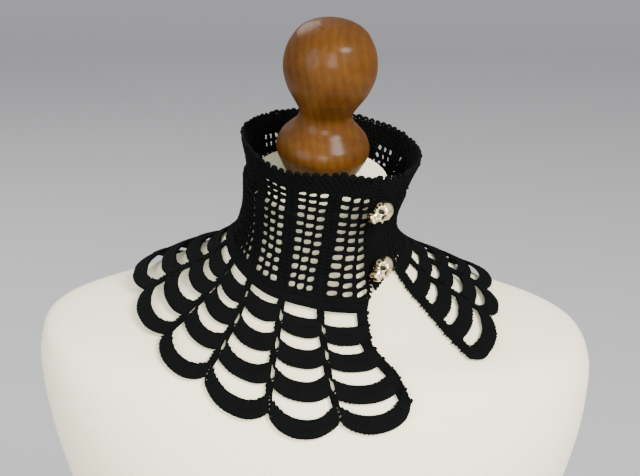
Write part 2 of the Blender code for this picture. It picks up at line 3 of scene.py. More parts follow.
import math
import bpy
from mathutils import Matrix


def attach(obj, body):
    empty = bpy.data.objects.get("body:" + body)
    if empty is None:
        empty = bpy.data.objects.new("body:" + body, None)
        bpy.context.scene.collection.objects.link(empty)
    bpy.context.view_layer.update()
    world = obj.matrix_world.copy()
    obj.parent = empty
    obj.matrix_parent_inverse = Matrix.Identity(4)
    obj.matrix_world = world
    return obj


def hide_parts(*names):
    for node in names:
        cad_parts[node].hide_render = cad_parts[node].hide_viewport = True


bl_info = {
    "name": "Crochet Collar on a Dress Form",
    "version": (1, 0, 0),
    "blender": (4, 5, 0),
    "location": "3D View > Sidebar > Collar",
    "description": "Dresses the packed crochet collar and its dress form",
    "category": "Object",
}

import bmesh
import bpy
import numpy as np
from bpy.props import FloatProperty, FloatVectorProperty, IntProperty, PointerProperty
from mathutils import Matrix, Vector
from mathutils.bvhtree import BVHTree

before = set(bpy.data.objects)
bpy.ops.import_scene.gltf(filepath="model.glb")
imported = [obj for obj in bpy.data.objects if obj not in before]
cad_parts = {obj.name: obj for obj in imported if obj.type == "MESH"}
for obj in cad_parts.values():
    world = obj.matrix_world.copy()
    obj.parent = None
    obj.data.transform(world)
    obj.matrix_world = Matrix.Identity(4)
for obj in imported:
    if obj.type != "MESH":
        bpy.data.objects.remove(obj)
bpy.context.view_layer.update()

# Sizes are in metres. The form faces -Y, +X is its left and +Z is up.
# Angles round the neck are in degrees from the form's front, growing towards its left.

# Dress form: one row for each section, from the flat base up to the neck cap. A section tilts down
# to the front and leans down to its left, in degrees.
FORM_COLUMNS = (
    "height", "tilt", "lean", "half_width", "front", "back", "centre_x", "centre_y", "squareness",
)
FORM_SECTIONS = (
    (0.0000, 0.0, 0.0, 0.1330, 0.0930, 0.0880, 0.0060, 0.000, 2.20),
    (0.0060, 0.0, 0.0, 0.1375, 0.0975, 0.0920, 0.0060, 0.000, 2.20),
    (0.0600, 0.0, 0.0, 0.1265, 0.0900, 0.0850, 0.0060, 0.000, 2.15),
    (0.1500, 0.0, 0.0, 0.1430, 0.1050, 0.0940, 0.0056, 0.000, 2.20),
    (0.2400, 0.0, 0.3, 0.1700, 0.1230, 0.1020, 0.0046, 0.000, 2.35),
    (0.3000, 0.0, 0.8, 0.1885, 0.1180, 0.1030, 0.0034, 0.000, 2.50),
    (0.3380, 2.0, 1.1, 0.1955, 0.1070, 0.1000, 0.0024, 0.000, 2.55),
    (0.3610, 5.0, 1.2, 0.1955, 0.0960, 0.0950, 0.0020, 0.000, 2.55),
    (0.3750, 8.0, 1.2, 0.1860, 0.0880, 0.0900, 0.0016, 0.000, 2.45),
    (0.3880, 12.0, 1.2, 0.1430, 0.0795, 0.0820, 0.0012, 0.000, 2.25),
    (0.4020, 16.0, 1.1, 0.1065, 0.0715, 0.0730, 0.0006, 0.001, 2.12),
    (0.4170, 19.0, 0.7, 0.0755, 0.0625, 0.0630, 0.0002, 0.002, 2.05),
    (0.4340, 19.0, 0.0, 0.0570, 0.0540, 0.0545, 0.0000, 0.002, 2.00),
    (0.4530, 17.0, 0.0, 0.0500, 0.0495, 0.0505, 0.0000, 0.000, 2.00),
    (0.4750, 15.0, 0.0, 0.0490, 0.0485, 0.0495, 0.0000, -0.003, 2.00),
    (0.4800, 15.0, 0.0, 0.0480, 0.0475, 0.0485, 0.0000, -0.004, 2.00),
)
CAD_RINGS_PER_SECTION = 2
CAD_SIDES = 36
RIB_SECTION_HEIGHT = 0.240

# The neck cap slopes to the front, and the finial on it leans a little to the form's left.
NECK_TOP = Vector((0.0, -0.004, 0.480))
CAP_TILT = math.radians(15.0)
FINIAL_LEAN = math.radians(1.6)

# Collar's axis: the collar sits a little askew on the neck, with its rim towards the form's left.
COLLAR_FOOT = NECK_TOP + Vector((0.0, 0.0060, -0.0430))
RIM_CENTRE = NECK_TOP + Vector((0.0068, -0.0045, 0.0250))

# Turned wooden finial: radius at each height above the neck cap, through foot, bun, waist and ball.
FINIAL_COLUMNS = ("height", "radius")
FINIAL_SECTIONS = (
    (0.0000, 0.0233),
    (0.0060, 0.0249),
    (0.0140, 0.0290),
    (0.0230, 0.0325),
    (0.0310, 0.0306),
    (0.0370, 0.0257),
    (0.0420, 0.0212),
    (0.0470, 0.0188),
    (0.0520, 0.0187),
    (0.0570, 0.0211),
    (0.0620, 0.0241),
    (0.0680, 0.0277),
    (0.0750, 0.0305),
    (0.0830, 0.0322),
    (0.0910, 0.0319),
    (0.0980, 0.0303),
    (0.1040, 0.0275),
    (0.1090, 0.0243),
    (0.1130, 0.0190),
    (0.1158, 0.0115),
    (0.1172, 0.0000),
)
FINIAL_GAP = 0.0013
FOOT_EDGE = 0.0008

# Collar: rows are measured down the cloth from its rim, columns round it from the overlap's edge.
COLUMN_COUNT = 14
BAND_COLUMNS = ("depth", "radius")
BAND_PROFILE = (
    (-0.008, 0.0640),
    (0.000, 0.0612),
    (0.012, 0.0572),
    (0.028, 0.0527),
    (0.045, 0.0475),
    (0.062, 0.0470),
    (0.080, 0.0500),
    (0.100, 0.0560),
)
BAND_ROUNDING = 0.007
CLOTH_CLEARANCE = 0.0006
CHART_START = -0.008
CHART_DEPTH = 0.220
CHART_LENGTH = 0.204

# The cloth settles shorter over the shoulders than down the chest.
REACH_COLUMNS = ("angle", "band", "skirt")
REACH = (
    (-180.0, 0.88, 0.88),
    (-110.0, 0.88, 0.78),
    (-80.0, 0.90, 0.83),
    (-58.0, 0.94, 0.895),
    (-35.0, 0.99, 0.96),
    (-10.0, 1.00, 1.03),
    (12.0, 1.03, 0.985),
    (30.0, 1.03, 0.975),
    (50.0, 0.90, 0.96),
    (70.0, 0.86, 0.860),
    (90.0, 0.84, 0.775),
    (130.0, 0.86, 0.80),
    (180.0, 0.88, 0.88),
)

# The rim isn't level: how much further down the collar's axis it starts, fading down the cloth.
RIM_COLUMNS = ("angle", "drop")
RIM_DROPS = (
    (-180.0, 0.0000),
    (-150.0, 0.0010),
    (-104.0, 0.0012),
    (-75.0, 0.0030),
    (-52.0, 0.0060),
    (-35.0, 0.0058),
    (-25.0, 0.0045),
    (-12.0, 0.0015),
    (-3.0, -0.0015),
    (5.0, -0.0028),
    (14.0, -0.0018),
    (26.0, 0.0005),
    (45.0, 0.0028),
    (60.0, 0.0025),
    (92.0, 0.0012),
    (130.0, -0.0008),
    (180.0, 0.0000),
)
RIM_FADE = 0.030

# Beside the neck the stiff cloth bridges to the shoulders: how far up it stands off them.
STAND_OFF_COLUMNS = ("angle", "height")
STAND_OFF = (
    (-180.0, 0.0008),
    (-140.0, 0.0020),
    (-112.0, 0.0042),
    (-92.0, 0.0042),
    (-72.0, 0.0024),
    (-50.0, 0.0005),
    (-30.0, 0.0000),
    (55.0, 0.0000),
    (80.0, 0.0018),
    (105.0, 0.0030),
    (130.0, 0.0022),
    (155.0, 0.0010),
    (180.0, 0.0008),
)
STAND_OFF_START = 0.0950
STAND_OFF_RISE = 0.0300

# How far round the neck each line between columns stands, at each distance down the cloth.
# Line 0 is the overlap's front edge, line 14 is the underlap's, and lines 6 to 11 space evenly.
LINES_TABULATED = (0, 1, 2, 3, 4, 5, 12, 13, 14)
LINE_COLUMNS = ("down", "l0", "l1", "l2", "l3", "l4", "l5", "l12", "l13", "l14")
LINES = (
    (0.000, 24.5, 0.0, -30.5, -60.0, -82.0, -104.0, -266.0, -288.0, -308.0),
    (0.054, 33.0, 1.0, -29.5, -58.0, -80.0, -102.0, -262.0, -282.0, -302.0),
    (0.086, 33.5, -1.0, -27.0, -54.5, -77.5, -99.0, -261.0, -280.0, -300.5),
    (0.100, 28.5, 1.0, -23.5, -48.8, -70.5, -92.5, -263.0, -280.0, -300.0),
    (0.124, 25.2, 3.5, -19.8, -42.2, -63.8, -87.5, -267.0, -282.5, -301.2),
    (0.150, 29.4, 4.9, -17.2, -38.9, -60.0, -84.0, -270.0, -284.5, -304.5),
    (0.180, 30.4, 8.4, -14.4, -36.4, -56.5, -79.5, -273.0, -286.5, -307.2),
)
COLUMN_PAST_EDGE = 0.0340

# The overlap's front edge stands off the neck, so that the button band passes below it.
OVERLAP_LIFT = 0.0026
OVERLAP_COLUMNS = 1.0
OVERLAP_RISE = 0.40
OVERLAP_FADE = 0.014

# Neckband: solid borders and bars between netted panels, three meshes wide and twelve high. A share
# is how much of the wall's thickness is left at an edge.
BAND_HEIGHT = 0.0910
BORDER_LINES = (0.0, 0.0035, 0.0078)
TOP_BORDER = 0.0134
BOTTOM_BORDER = 0.0012
BAR_HALF_WIDTH = 0.0038
FRONT_BAR_WIDTH = 0.0014
NET_MESHES_ACROSS = 3
NET_MESHES_DOWN = 12
NET_RIM_SHARE = 0.45
BAND_EDGE_SHARE = 0.7

# One mesh: the shares of it that are open, how far its corners are drawn in and its sides slope, and
# how much its size and place differ from its neighbours'.
MESH_OPEN_ACROSS = 0.75
MESH_OPEN_DOWN = 0.58
MESH_CORNER = 0.80
MESH_SLANT = 0.20
MESH_SIZE_SPREAD = 0.22
MESH_SIDE_SPREAD = 0.10
MESH_DOWN_SPREAD = 0.14

SEAM_GAP = 0.0003
BUTTON_BAND_WIDTH = 0.0300
BUTTON_BAND_TUCK = 0.0045
TUCK_FADE = 0.030

# Picots stand along the rim, with their feet a little below it.
PICOT_COUNT = 76
PICOT_LIFT = 0.0007
PICOT_FOOT = 0.0006
PICOT_CORD = 0.30

# Stitches: each kind's length in the unit beside it, and its width in metres. A row is the pitch down
# the cloth, and an arc's posts are as long as this share of the arc's height.
STITCH_COLUMNS = ("kind", "length", "unit", "width")
STITCHES = (
    ("picot", 1.00, "picot", 0.0043),
    ("border", 1.05, "pitch", 0.0032),
    ("bar", 1.15, "row", 0.0038),
    ("net_post", 0.0054, "metre", 0.0019),
    ("net_bar", 0.0080, "metre", 0.0021),
    ("button_band", 1.15, "row", 0.0036),
    ("seam", 1.70, "pitch", 0.0032),
    ("arc_top", 1.02, "pitch", 0.0022),
    ("arc_post", 0.66, "arc", 0.0030),
    ("arc_foot", 0.86, "pitch", 0.0028),
    ("arc_knob", 0.0024, "metre", 0.0029),
    ("join", 1.20, "row", 0.0028),
    ("front_edge", 0.0026, "metre", 0.0032),
    ("front_edge_bold", 0.0036, "metre", 0.0032),
)

# Where the neckband's stitches lie: its border rows, the rows beside a bar's middle, how far down its
# inside shows, and how far outside the wall they stand.
BORDER_ROWS = 4
BORDER_START = 0.0016
BAR_ROW_OFFSET = 0.0022
FRONT_BAR_ROW_OFFSET = 0.0008
INSIDE_SHOWS_TO = 0.036
BAND_STITCH_LIFT = 0.0001

# How far into the wall the stitches of the button band and the skirt sink.
BUTTON_BAND_SINK = 0.0003
SKIRT_SINK = 0.0004

# Two strands of a stitch stand this far apart and lean this much, in its own size and in radians.
CHAIN = {"Strand Spread": 0.24, "Strand Lean": 0.42}

# Skirt: each column holds four arcs, measured down from the skirt's own top edge.
SKIRT_TOP = BAND_HEIGHT + 2.5 * SEAM_GAP
FOUNDATION = 0.0078
ARC_COLUMNS = ("upper_at_join", "upper_sag", "lower_at_join", "lower_sag")
ARCS = (
    (0.0137, 0.0018, 0.0248, 0.0047),
    (0.0325, 0.0063, 0.0463, 0.0062),
    (0.0540, 0.0088, 0.0692, 0.0068),
    (0.0755, 0.0118, 0.0888, 0.0112),
)
SAG_POWER = 2.4

# Worked by hand, the arcs don't lie equally far down in every column: how much lower each one is,
# and how much higher the lowest arc's near end is drawn up, the others in proportion.
SETTLED_COLUMNS = ("column", "first", "second", "third", "fourth", "near_rise")
SETTLED = (
    (0, 0.0030, 0.0008, 0.0010, -0.0018, 0.0042),
    (1, 0.0000, -0.0004, -0.0010, -0.0008, 0.0014),
    (2, -0.0028, -0.0030, -0.0018, -0.0008, 0.0016),
    (3, -0.0008, -0.0036, -0.0040, 0.0020, 0.0040),
    (4, 0.0000, -0.0026, -0.0020, 0.0000, 0.0040),
    (5, 0.0004, -0.0014, -0.0018, 0.0006, 0.0030),
    (6, 0.0000, 0.0000, 0.0000, 0.0000, 0.0012),
    (7, -0.0006, 0.0004, -0.0008, 0.0006, 0.0000),
    (8, 0.0008, -0.0010, 0.0006, -0.0006, 0.0006),
    (9, -0.0004, 0.0010, -0.0006, 0.0008, 0.0000),
    (10, 0.0006, 0.0004, 0.0010, 0.0000, 0.0004),
    (11, 0.0014, 0.0010, 0.0012, -0.0008, 0.0000),
    (12, 0.0030, 0.0022, 0.0018, -0.0010, 0.0000),
    (13, 0.0042, 0.0034, 0.0006, -0.0010, 0.0000),
)
ARC_RIM = 0.0024
JOIN_HALF_WIDTH = 0.0025
EDGE_WIDTH = 0.0075
SKIRT_HEM_LIFT = 0.0010

# Rows of stitches across the skirt's top, by their distance down it. The first covers the seam.
FOUNDATION_COLUMNS = ("kind", "down")
FOUNDATION_ROWS = (
    ("seam", -0.0006),
    ("border", 0.34 * FOUNDATION),
    ("border", 0.76 * FOUNDATION),
)

# Stitches of an arc: how many posts stand in one pitch, how far the stitches of its upper edge lie
# below it by turns, how far its foot stitches lie above its lower edge, and its two knobs a post.
POSTS_IN_A_PITCH = 1.15
ARC_TOP_DEPTHS = (0.0016, 0.0012)
ARC_FOOT_RISE = 0.0023
KNOB_RISE = 0.0010
KNOB_COLUMNS = ("aside", "sunk")
KNOBS = (
    (-0.25, 0.0004),
    (0.25, 0.0012),
)

# Rows of stitches down a column's sides: how far each row lies from a join, or from the front edge,
# which also has knobs, each third one bold.
JOIN_ROWS = (0.0012,)
FRONT_EDGE_ROWS = (0.0010, 0.0036, 0.0060)
FRONT_KNOB_INSET = 0.0007
FRONT_KNOB_SINK = 0.0006
BOLD_KNOB_STEP = 3

# Skull buttons, sewn to the button band by a shank that stands on the CAD band's face.
BUTTON_COLUMNS = ("name", "from_edge", "down", "turn")
BUTTONS = (
    ("skull_button_upper", 0.0232, 0.0270, -65.0),
    ("skull_button_lower", 0.0210, 0.0750, -50.0),
)
CAD_BUTTON_BAND_THICKNESS = 0.0018
SHANK_GAP = 0.0005
SHANK_LENGTH = 0.0030
SHANK_OVERLAP = 0.0015
SHANK_RADIUS = 0.0018

# The skull's shape, in millimetres: a generic casting with its crown towards +Y, its face towards +Z
# and its shank at the origin. Each ball swells it or is carved from it, at these sides of its middle.
SKULL_HEART = (0.0, -1.2, 9.4)
SKULL_REACH = 13.0
MILLIMETRE = 0.001
CRANIUM_CENTRE = (0.0, 2.6, 9.2)
CRANIUM_RADII = (6.7, 7.2, 6.0)
JAW_CENTRE = (0.0, -5.7, 9.0)
JAW_HALF = (3.5, 3.9, 3.9)
JAW_ROUNDING = 1.9
JAW_SOFTNESS = 1.3
BALL_COLUMNS = ("part", "across", "up", "out", "radii", "softness")
SWELLS = (
    ("brow", 0.0, 1.7, 13.2, (4.6, 1.3, 1.7), 1.6),
    ("right_cheek", -4.1, -2.9, 11.4, (1.8, 1.3, 2.0), 1.1),
    ("left_cheek", 4.1, -2.9, 11.4, (1.8, 1.3, 2.0), 1.1),
)
HOLLOWS = (
    ("right_eye", -3.15, -0.6, 15.2, (3.0, 3.1, 3.7), 0.15),
    ("right_nostril", -0.65, -4.0, 14.3, (0.65, 1.25, 1.9), 0.3),
    ("right_jaw", -6.2, -5.4, 10.0, (1.9, 2.3, 2.6), 0.9),
    ("right_temple", -7.7, 0.4, 11.0, (1.5, 2.2, 2.2), 1.2),
    ("left_eye", 3.15, -0.6, 15.2, (3.0, 3.1, 3.7), 0.15),
    ("left_nostril", 0.65, -4.0, 14.3, (0.65, 1.25, 1.9), 0.3),
    ("left_jaw", 6.2, -5.4, 10.0, (1.9, 2.3, 2.6), 0.9),
    ("left_temple", 7.7, 0.4, 11.0, (1.5, 2.2, 2.2), 1.2),
)
TEETH_TOP = -5.2
TEETH_TOP_FADE = 0.5
TEETH_BOTTOM = -9.2
TEETH_BOTTOM_FADE = 0.6
TEETH_FRONT = 9.5
TEETH_FRONT_FADE = 1.5
TEETH_DEPTH = 0.42
TOOTH_WIDTH = 1.25
BITE_HEIGHT = -7.2
BITE_HALF_WIDTH = 0.26
BITE_FRONT = 8.0
BITE_FRONT_FADE = 2.0
BITE_DEPTH = 0.62
# Below the uncarved casting the colour darkens, starting at this depth and over the next: tarnish in the
# hollows, deepened by painted shade.
TARNISH_AND_SHADE_START = 0.05
TARNISH_AND_SHADE_DEPTH = 0.30

# Cloth as it is worked, laid flat: its width and depth, the area of its stitches without the gaps
# that show, and the pieces worked onto it. The skirt's halves fan out, so they are far from square.
SHEET_COLUMNS = ("piece", "width", "depth", "worked", "worked_on")
SHEETS = (
    ("neckband_net", 0.355, 0.091, 0.0240, ("neckband_stitches", "neckband_inner_stitches", "rim_picots")),
    ("button_band_cloth", 0.030, 0.091, 0.0026, ("button_band_stitches",)),
    ("skirt_right_arcs", 0.319, 0.139, 0.0190, ("skirt_right_stitches",)),
    ("skirt_left_arcs", 0.319, 0.139, 0.0190, ("skirt_left_stitches",)),
)

# Camera: it looks at the neck from the form's right, above it, and leans a little.
IMAGE_SIZE = (640, 476)
CAMERA_TURN = math.radians(-6.0)
CAMERA_RISE = math.radians(15.4)
CAMERA_ROLL = math.radians(1.8)
CAMERA_DISTANCE = 1.30
METRES_PER_PIXEL = 0.00070
SENSOR_WIDTH = 36.0
TARGET_PIXEL = (320.0, 178.0)

# Backdrop: the floor runs from before the camera to a wall far behind, with a round bend between.
FLOOR_FRONT = -7.0
BACKDROP_DEPTH = 5.5
BACKDROP_RISE = 5.0
BACKDROP_BEND = 2.2
BACKDROP_HALF_WIDTH = 8.0

# Lights: where each stands, what it points at, its size, its power and its colour.
LIGHT_COLUMNS = ("name", "place", "aim", "size", "power", "color")
LIGHTS = (
    ("key_light", (1.2, -1.6, 1.9), (0.0, 0.0, 0.42), 1.1, 140.0, (1.0, 0.985, 0.95)),
    ("fill_light", (-1.9, -1.6, 1.0), (0.0, 0.0, 0.40), 1.8, 58.0, (0.98, 0.985, 1.0)),
    ("front_light", (-0.1, -2.2, 0.9), (0.0, 0.0, 0.44), 0.9, 44.0, (1.0, 1.0, 0.99)),
    ("back_light", (-0.6, 1.5, 1.7), (0.0, 0.1, 0.45), 1.2, 24.0, (1.0, 1.0, 1.0)),
)


def rows(columns, table):
    """The table's rows as dictionaries keyed by column name."""
    return [dict(zip(columns, row)) for row in table]


def columns_of(columns, table):
    """The table's columns as arrays keyed by column name."""
    return dict(zip(columns, np.array(table, float).T))


def smoothed(table, steps):
    """The rows of a number table with steps - 1 rows set between each two on a smooth curve."""
    values = np.array(table, float)
    padded = np.vstack((2 * values[0] - values[1], values, 2 * values[-1] - values[-2]))
    result = []
    for row in range(1, len(values)):
        before, start, end, after = padded[row - 1 : row + 3]
        for step in range(steps):
            t = step / steps
            bend = (2 * before - 5 * start + 4 * end - after) * t * t
            twist = (3 * start - before - 3 * end + after) * t * t * t
            result.append(0.5 * (2 * start + (end - before) * t + bend + twist))
    result.append(values[-1])
    return np.array(result)


def smooth_step(value):
    value = np.clip(value, 0.0, 1.0)
    return value * value * (3.0 - 2.0 * value)


def superellipse(angle, row):
    """A point of a section before it is tilted: across, and to the front as a negative number."""
    power = 2.0 / row["squareness"]
    across = math.copysign(abs(math.cos(angle)) ** power, math.cos(angle))
    along = math.copysign(abs(math.sin(angle)) ** power, math.sin(angle))
    depth = row["front"] if along < 0 else row["back"]
    return row["half_width"] * across, depth * along


def form_rings(rings_per_section, sides):
    """The dress form's sections from the base up, as an array of rings of points."""
    rings = []
    for row in rows(FORM_COLUMNS, smoothed(FORM_SECTIONS, rings_per_section)):
        tilt, lean = math.radians(row["tilt"]), math.radians(row["lean"])
        ring = []
        for side in range(sides):
            x, y = superellipse(2 * math.pi * side / sides, row)
            height = row["height"] + y * math.sin(tilt) - x * math.sin(lean)
            ring.append((row["centre_x"] + x, row["centre_y"] + y * math.cos(tilt), height))
        rings.append(ring)
    return np.array(rings)


def frame_shift():
    """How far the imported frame's origin, the middle of the form, lies from the tables' own."""
    points = form_rings(CAD_RINGS_PER_SECTION, CAD_SIDES).reshape(-1, 3)
    middle = 0.5 * (points.min(0) + points.max(0))
    return np.array((-middle[0], -middle[1], 0.0))


FRAME_SHIFT = frame_shift()


def collar_axis():
    return (RIM_CENTRE - COLLAR_FOOT).normalized()


def outward(angle):
    """The unit direction square to the collar's axis, at this angle from the form's front."""
    side = collar_axis().cross(Vector((0.0, -1.0, 0.0))).normalized()
    front = side.cross(collar_axis())
    return side * math.sin(angle) + front * math.cos(angle)


def overlap_lift(column, down):
    """How far the overlap's front edge stands off, over the button band."""
    over = (column > -0.5) & (column < OVERLAP_COLUMNS)
    across = smooth_step((OVERLAP_COLUMNS - column) / OVERLAP_RISE)
    fade = 1.0 - smooth_step((down - BAND_HEIGHT) / OVERLAP_FADE)
    return OVERLAP_LIFT * over * across * fade


class ClothChart:
    """Maps a column, a distance down the cloth and a lift off it to a point in space."""

    angle_step = math.radians(1.0)
    down_step = 0.001
    column_step = 1.0 / 32.0
    column_margin = 1.0

    def __init__(self, tree):
        self.tree = tree
        self.downs = np.arange(0.0, CHART_LENGTH, self.down_step)
        self.angles = np.arange(math.radians(-70.0), math.radians(400.0), self.angle_step)
        self.band = columns_of(BAND_COLUMNS, smoothed(BAND_PROFILE, 8))
        self.reach = columns_of(REACH_COLUMNS, smoothed(REACH, 4))
        self.stand_off = columns_of(STAND_OFF_COLUMNS, STAND_OFF)
        self.rim = columns_of(RIM_COLUMNS, RIM_DROPS)
        self.lines = columns_of(LINE_COLUMNS, LINES)
        profiles = np.array([self.profile(angle) for angle in self.angles])
        last = COLUMN_COUNT + self.column_margin
        self.columns = np.arange(-self.column_margin, last + 1e-9, self.column_step)
        ring_points = [self.row_points(profiles[:, j], j) for j in range(len(self.downs))]
        self.points = np.stack(ring_points, 1)
        self.points += FRAME_SHIFT
        self.along = np.gradient(self.points, axis=0)
        self.below = np.gradient(self.points, axis=1)
        normals = np.cross(self.along, self.below)
        self.normals = normals / np.linalg.norm(normals, axis=2, keepdims=True)

    def profile(self, angle):
        """Points down one side of the collar, evenly spaced along the cloth."""
        direction = outward(-angle)
        around = math.remainder(-math.degrees(angle), 360.0)
        path = []
        depths = np.arange(CHART_START, CHART_DEPTH, self.down_step)
        for depth in depths:
            centre = RIM_CENTRE - collar_axis() * depth
            _, _, _, body = self.tree.ray_cast(centre, direction)
            reach = float(np.interp(depth, self.band["depth"], self.band["radius"]))
            if body is not None:
                spread = math.hypot(reach - body, BAND_ROUNDING)
                reach = 0.5 * (reach + body + spread)
            path.append(centre + direction * reach)
        path = np.array(path)
        steps = np.linalg.norm(np.diff(path, axis=0), axis=1)
        lengths = np.concatenate(([0.0], np.cumsum(steps)))
        lengths -= np.interp(0.0, depths, lengths)
        stand_off = np.interp(around, self.stand_off["angle"], self.stand_off["height"])
        path[:, 2] += stand_off * smooth_step((lengths - STAND_OFF_START) / STAND_OFF_RISE)
        band_share = np.interp(around, self.reach["angle"], self.reach["band"])
        skirt_share = np.interp(around, self.reach["angle"], self.reach["skirt"])
        past_band = np.maximum(0.0, lengths - BAND_HEIGHT * band_share)
        lengths = (lengths - past_band) / band_share + past_band / skirt_share
        drop = np.interp(around, self.rim["angle"], self.rim["drop"])
        wanted = self.downs + drop * (1.0 - smooth_step(self.downs / RIM_FADE))
        return np.stack([np.interp(wanted, lengths, path[:, axis]) for axis in range(3)], 1)

    def row_points(self, ring, j):
        """Points at each column along one row, with the columns equally wide between the edges."""
        down = self.downs[j]
        turns = [np.interp(down, self.lines["down"], self.lines[name]) for name in LINE_COLUMNS[1:]]
        steps = np.linalg.norm(np.diff(ring, axis=0), axis=1)
        lengths = np.concatenate(([0.0], np.cumsum(steps)))
        at_lines = np.interp(-np.radians(turns), self.angles, lengths)
        at_lines = [at_lines[0] - COLUMN_PAST_EDGE, *at_lines, at_lines[-1] + COLUMN_PAST_EDGE]
        wanted = np.interp(self.columns, (-1, *LINES_TABULATED, COLUMN_COUNT + 1), at_lines)
        return np.stack([np.interp(wanted, lengths, ring[:, axis]) for axis in range(3)], 1)

    def sample(self, grid, column, down):
        across = (np.asarray(column) + self.column_margin) / self.column_step
        below = np.asarray(down) / self.down_step
        i = np.clip(np.floor(across).astype(int), 0, grid.shape[0] - 2)
        j = np.clip(np.floor(below).astype(int), 0, grid.shape[1] - 2)
        a = (across - i)[:, None]
        b = (below - j)[:, None]
        upper = grid[i, j] * (1 - a) + grid[i + 1, j] * a
        lower = grid[i, j + 1] * (1 - a) + grid[i + 1, j + 1] * a
        return upper * (1 - b) + lower * b

    def place(self, column, down, lift):
        point = self.sample(self.points, column, down)
        normal = self.sample(self.normals, column, down)
        raised = np.asarray(lift) + overlap_lift(np.asarray(column), np.asarray(down))
        return point + normal * raised[:, None]

    def width(self, column, down):
        """How wide this column is at this distance down the cloth."""
        edges = np.linspace(column, column + 1.0, 9)
        path = self.sample(self.points, edges, np.full(9, down))
        return float(np.linalg.norm(np.diff(path, axis=0), axis=1).sum())


# Objects made while the script runs that later pieces lean on.
made = {}


def get_chart():
    """The collar's chart over the dress form, made once."""
    if "chart" not in made:
        settings = bpy.context.scene.dress_form
        rings = form_rings(settings.rings_per_section, settings.sides)
        mesh = loft("form_for_cloth", rings)
        points = [vertex.co + vertex.normal * CLOTH_CLEARANCE for vertex in mesh.vertices]
        faces = [tuple(face.vertices) for face in mesh.polygons]
        made["chart"] = ClothChart(BVHTree.FromPolygons(points, faces))
        bpy.data.meshes.remove(mesh)
    return made["chart"]


def add_object(name, mesh, material=None):
    piece = bpy.data.objects.new(name, mesh)
    bpy.context.scene.collection.objects.link(piece)
    if material is not None:
        mesh.materials.append(material)
    mesh.shade_smooth()
    return piece


def loft(name, rings, poles=None):
    """A closed mesh through rings of points; poles, if given, are the two end points."""
    count, sides = len(rings), len(rings[0])
    points = rings.reshape(-1, 3).tolist()
    faces = []
    for low in range(count - 1):
        for side in range(sides):
            right = (side + 1) % sides
            lower, upper = low * sides, (low + 1) * sides
            faces.append((lower + side, lower + right, upper + right, upper + side))
    last = (count - 1) * sides
    if poles is None:
        faces.append(tuple(reversed(range(sides))))
        faces.append(tuple(last + side for side in range(sides)))
    else:
        points += [tuple(poles[0]), tuple(poles[1])]
        for side in range(sides):
            right = (side + 1) % sides
            faces.append((right, side, len(points) - 2))
            faces.append((last + side, last + right, len(points) - 1))
    mesh = bpy.data.meshes.new(name)
    mesh.from_pydata(points, [], faces)
    return mesh


def set_uv(mesh, name, values):
    """A UV map with one value for each vertex."""
    layer = mesh.uv_layers.new(name=name)
    corners = np.empty(len(mesh.loops), int)
    mesh.loops.foreach_get("vertex_index", corners)
    layer.uv.foreach_set("vector", np.asarray(values, np.float32)[corners].ravel())


def set_attribute(mesh, name, kind, values):
    field = "value" if kind == "FLOAT" else "vector"
    attribute = mesh.attributes.new(name, kind, "POINT")
    attribute.data.foreach_set(field, np.asarray(values, np.float32).ravel())


CELL = ((0, 0), (1, 0), (1, 1), (0, 1))


class ClothSheet:
    """Collects the cells of a cloth wall by key and builds its inside, outside and rims."""

    inner_share = 0.35
    column_width = 0.027
    sharp_angle = math.radians(75.0)

    def __init__(self):
        self.index = {}
        self.corners = []
        self.cells = []

    def corner(self, key, column, down, lift=0.0, share=1.0):
        """A corner of the sheet; share is how much of the wall's thickness it has."""
        if key not in self.index:
            self.index[key] = len(self.corners)
            self.corners.append((column, down, lift, share))
        return self.index[key]

    def build(self, name, chart, thickness, material):
        corners = np.array(self.corners)
        column, down, lift, share = corners.T
        inner = lift + self.inner_share * thickness * (1.0 - share)
        inside = chart.place(column, down, inner)
        outside = chart.place(column, down, inner + thickness * share)
        count = len(corners)
        faces = [tuple(reversed(cell)) for cell in self.cells]
        faces += [tuple(index + count for index in cell) for cell in self.cells]
        edges = {pair for cell in self.cells for pair in zip(cell, cell[1:] + cell[:1])}
        rims = sorted(pair for pair in edges if pair[::-1] not in edges)
        faces += [(end + count, start + count, start, end) for start, end in rims]
        mesh = bpy.data.meshes.new(name)
        mesh.from_pydata(np.vstack((inside, outside)).tolist(), [], faces)
        piece = add_object(name, mesh, material)
        mesh.set_sharp_from_angle(angle=self.sharp_angle)
        flat = np.stack((column * self.column_width, down), 1)
        set_uv(mesh, "cloth", np.vstack((flat, flat)))
        return piece


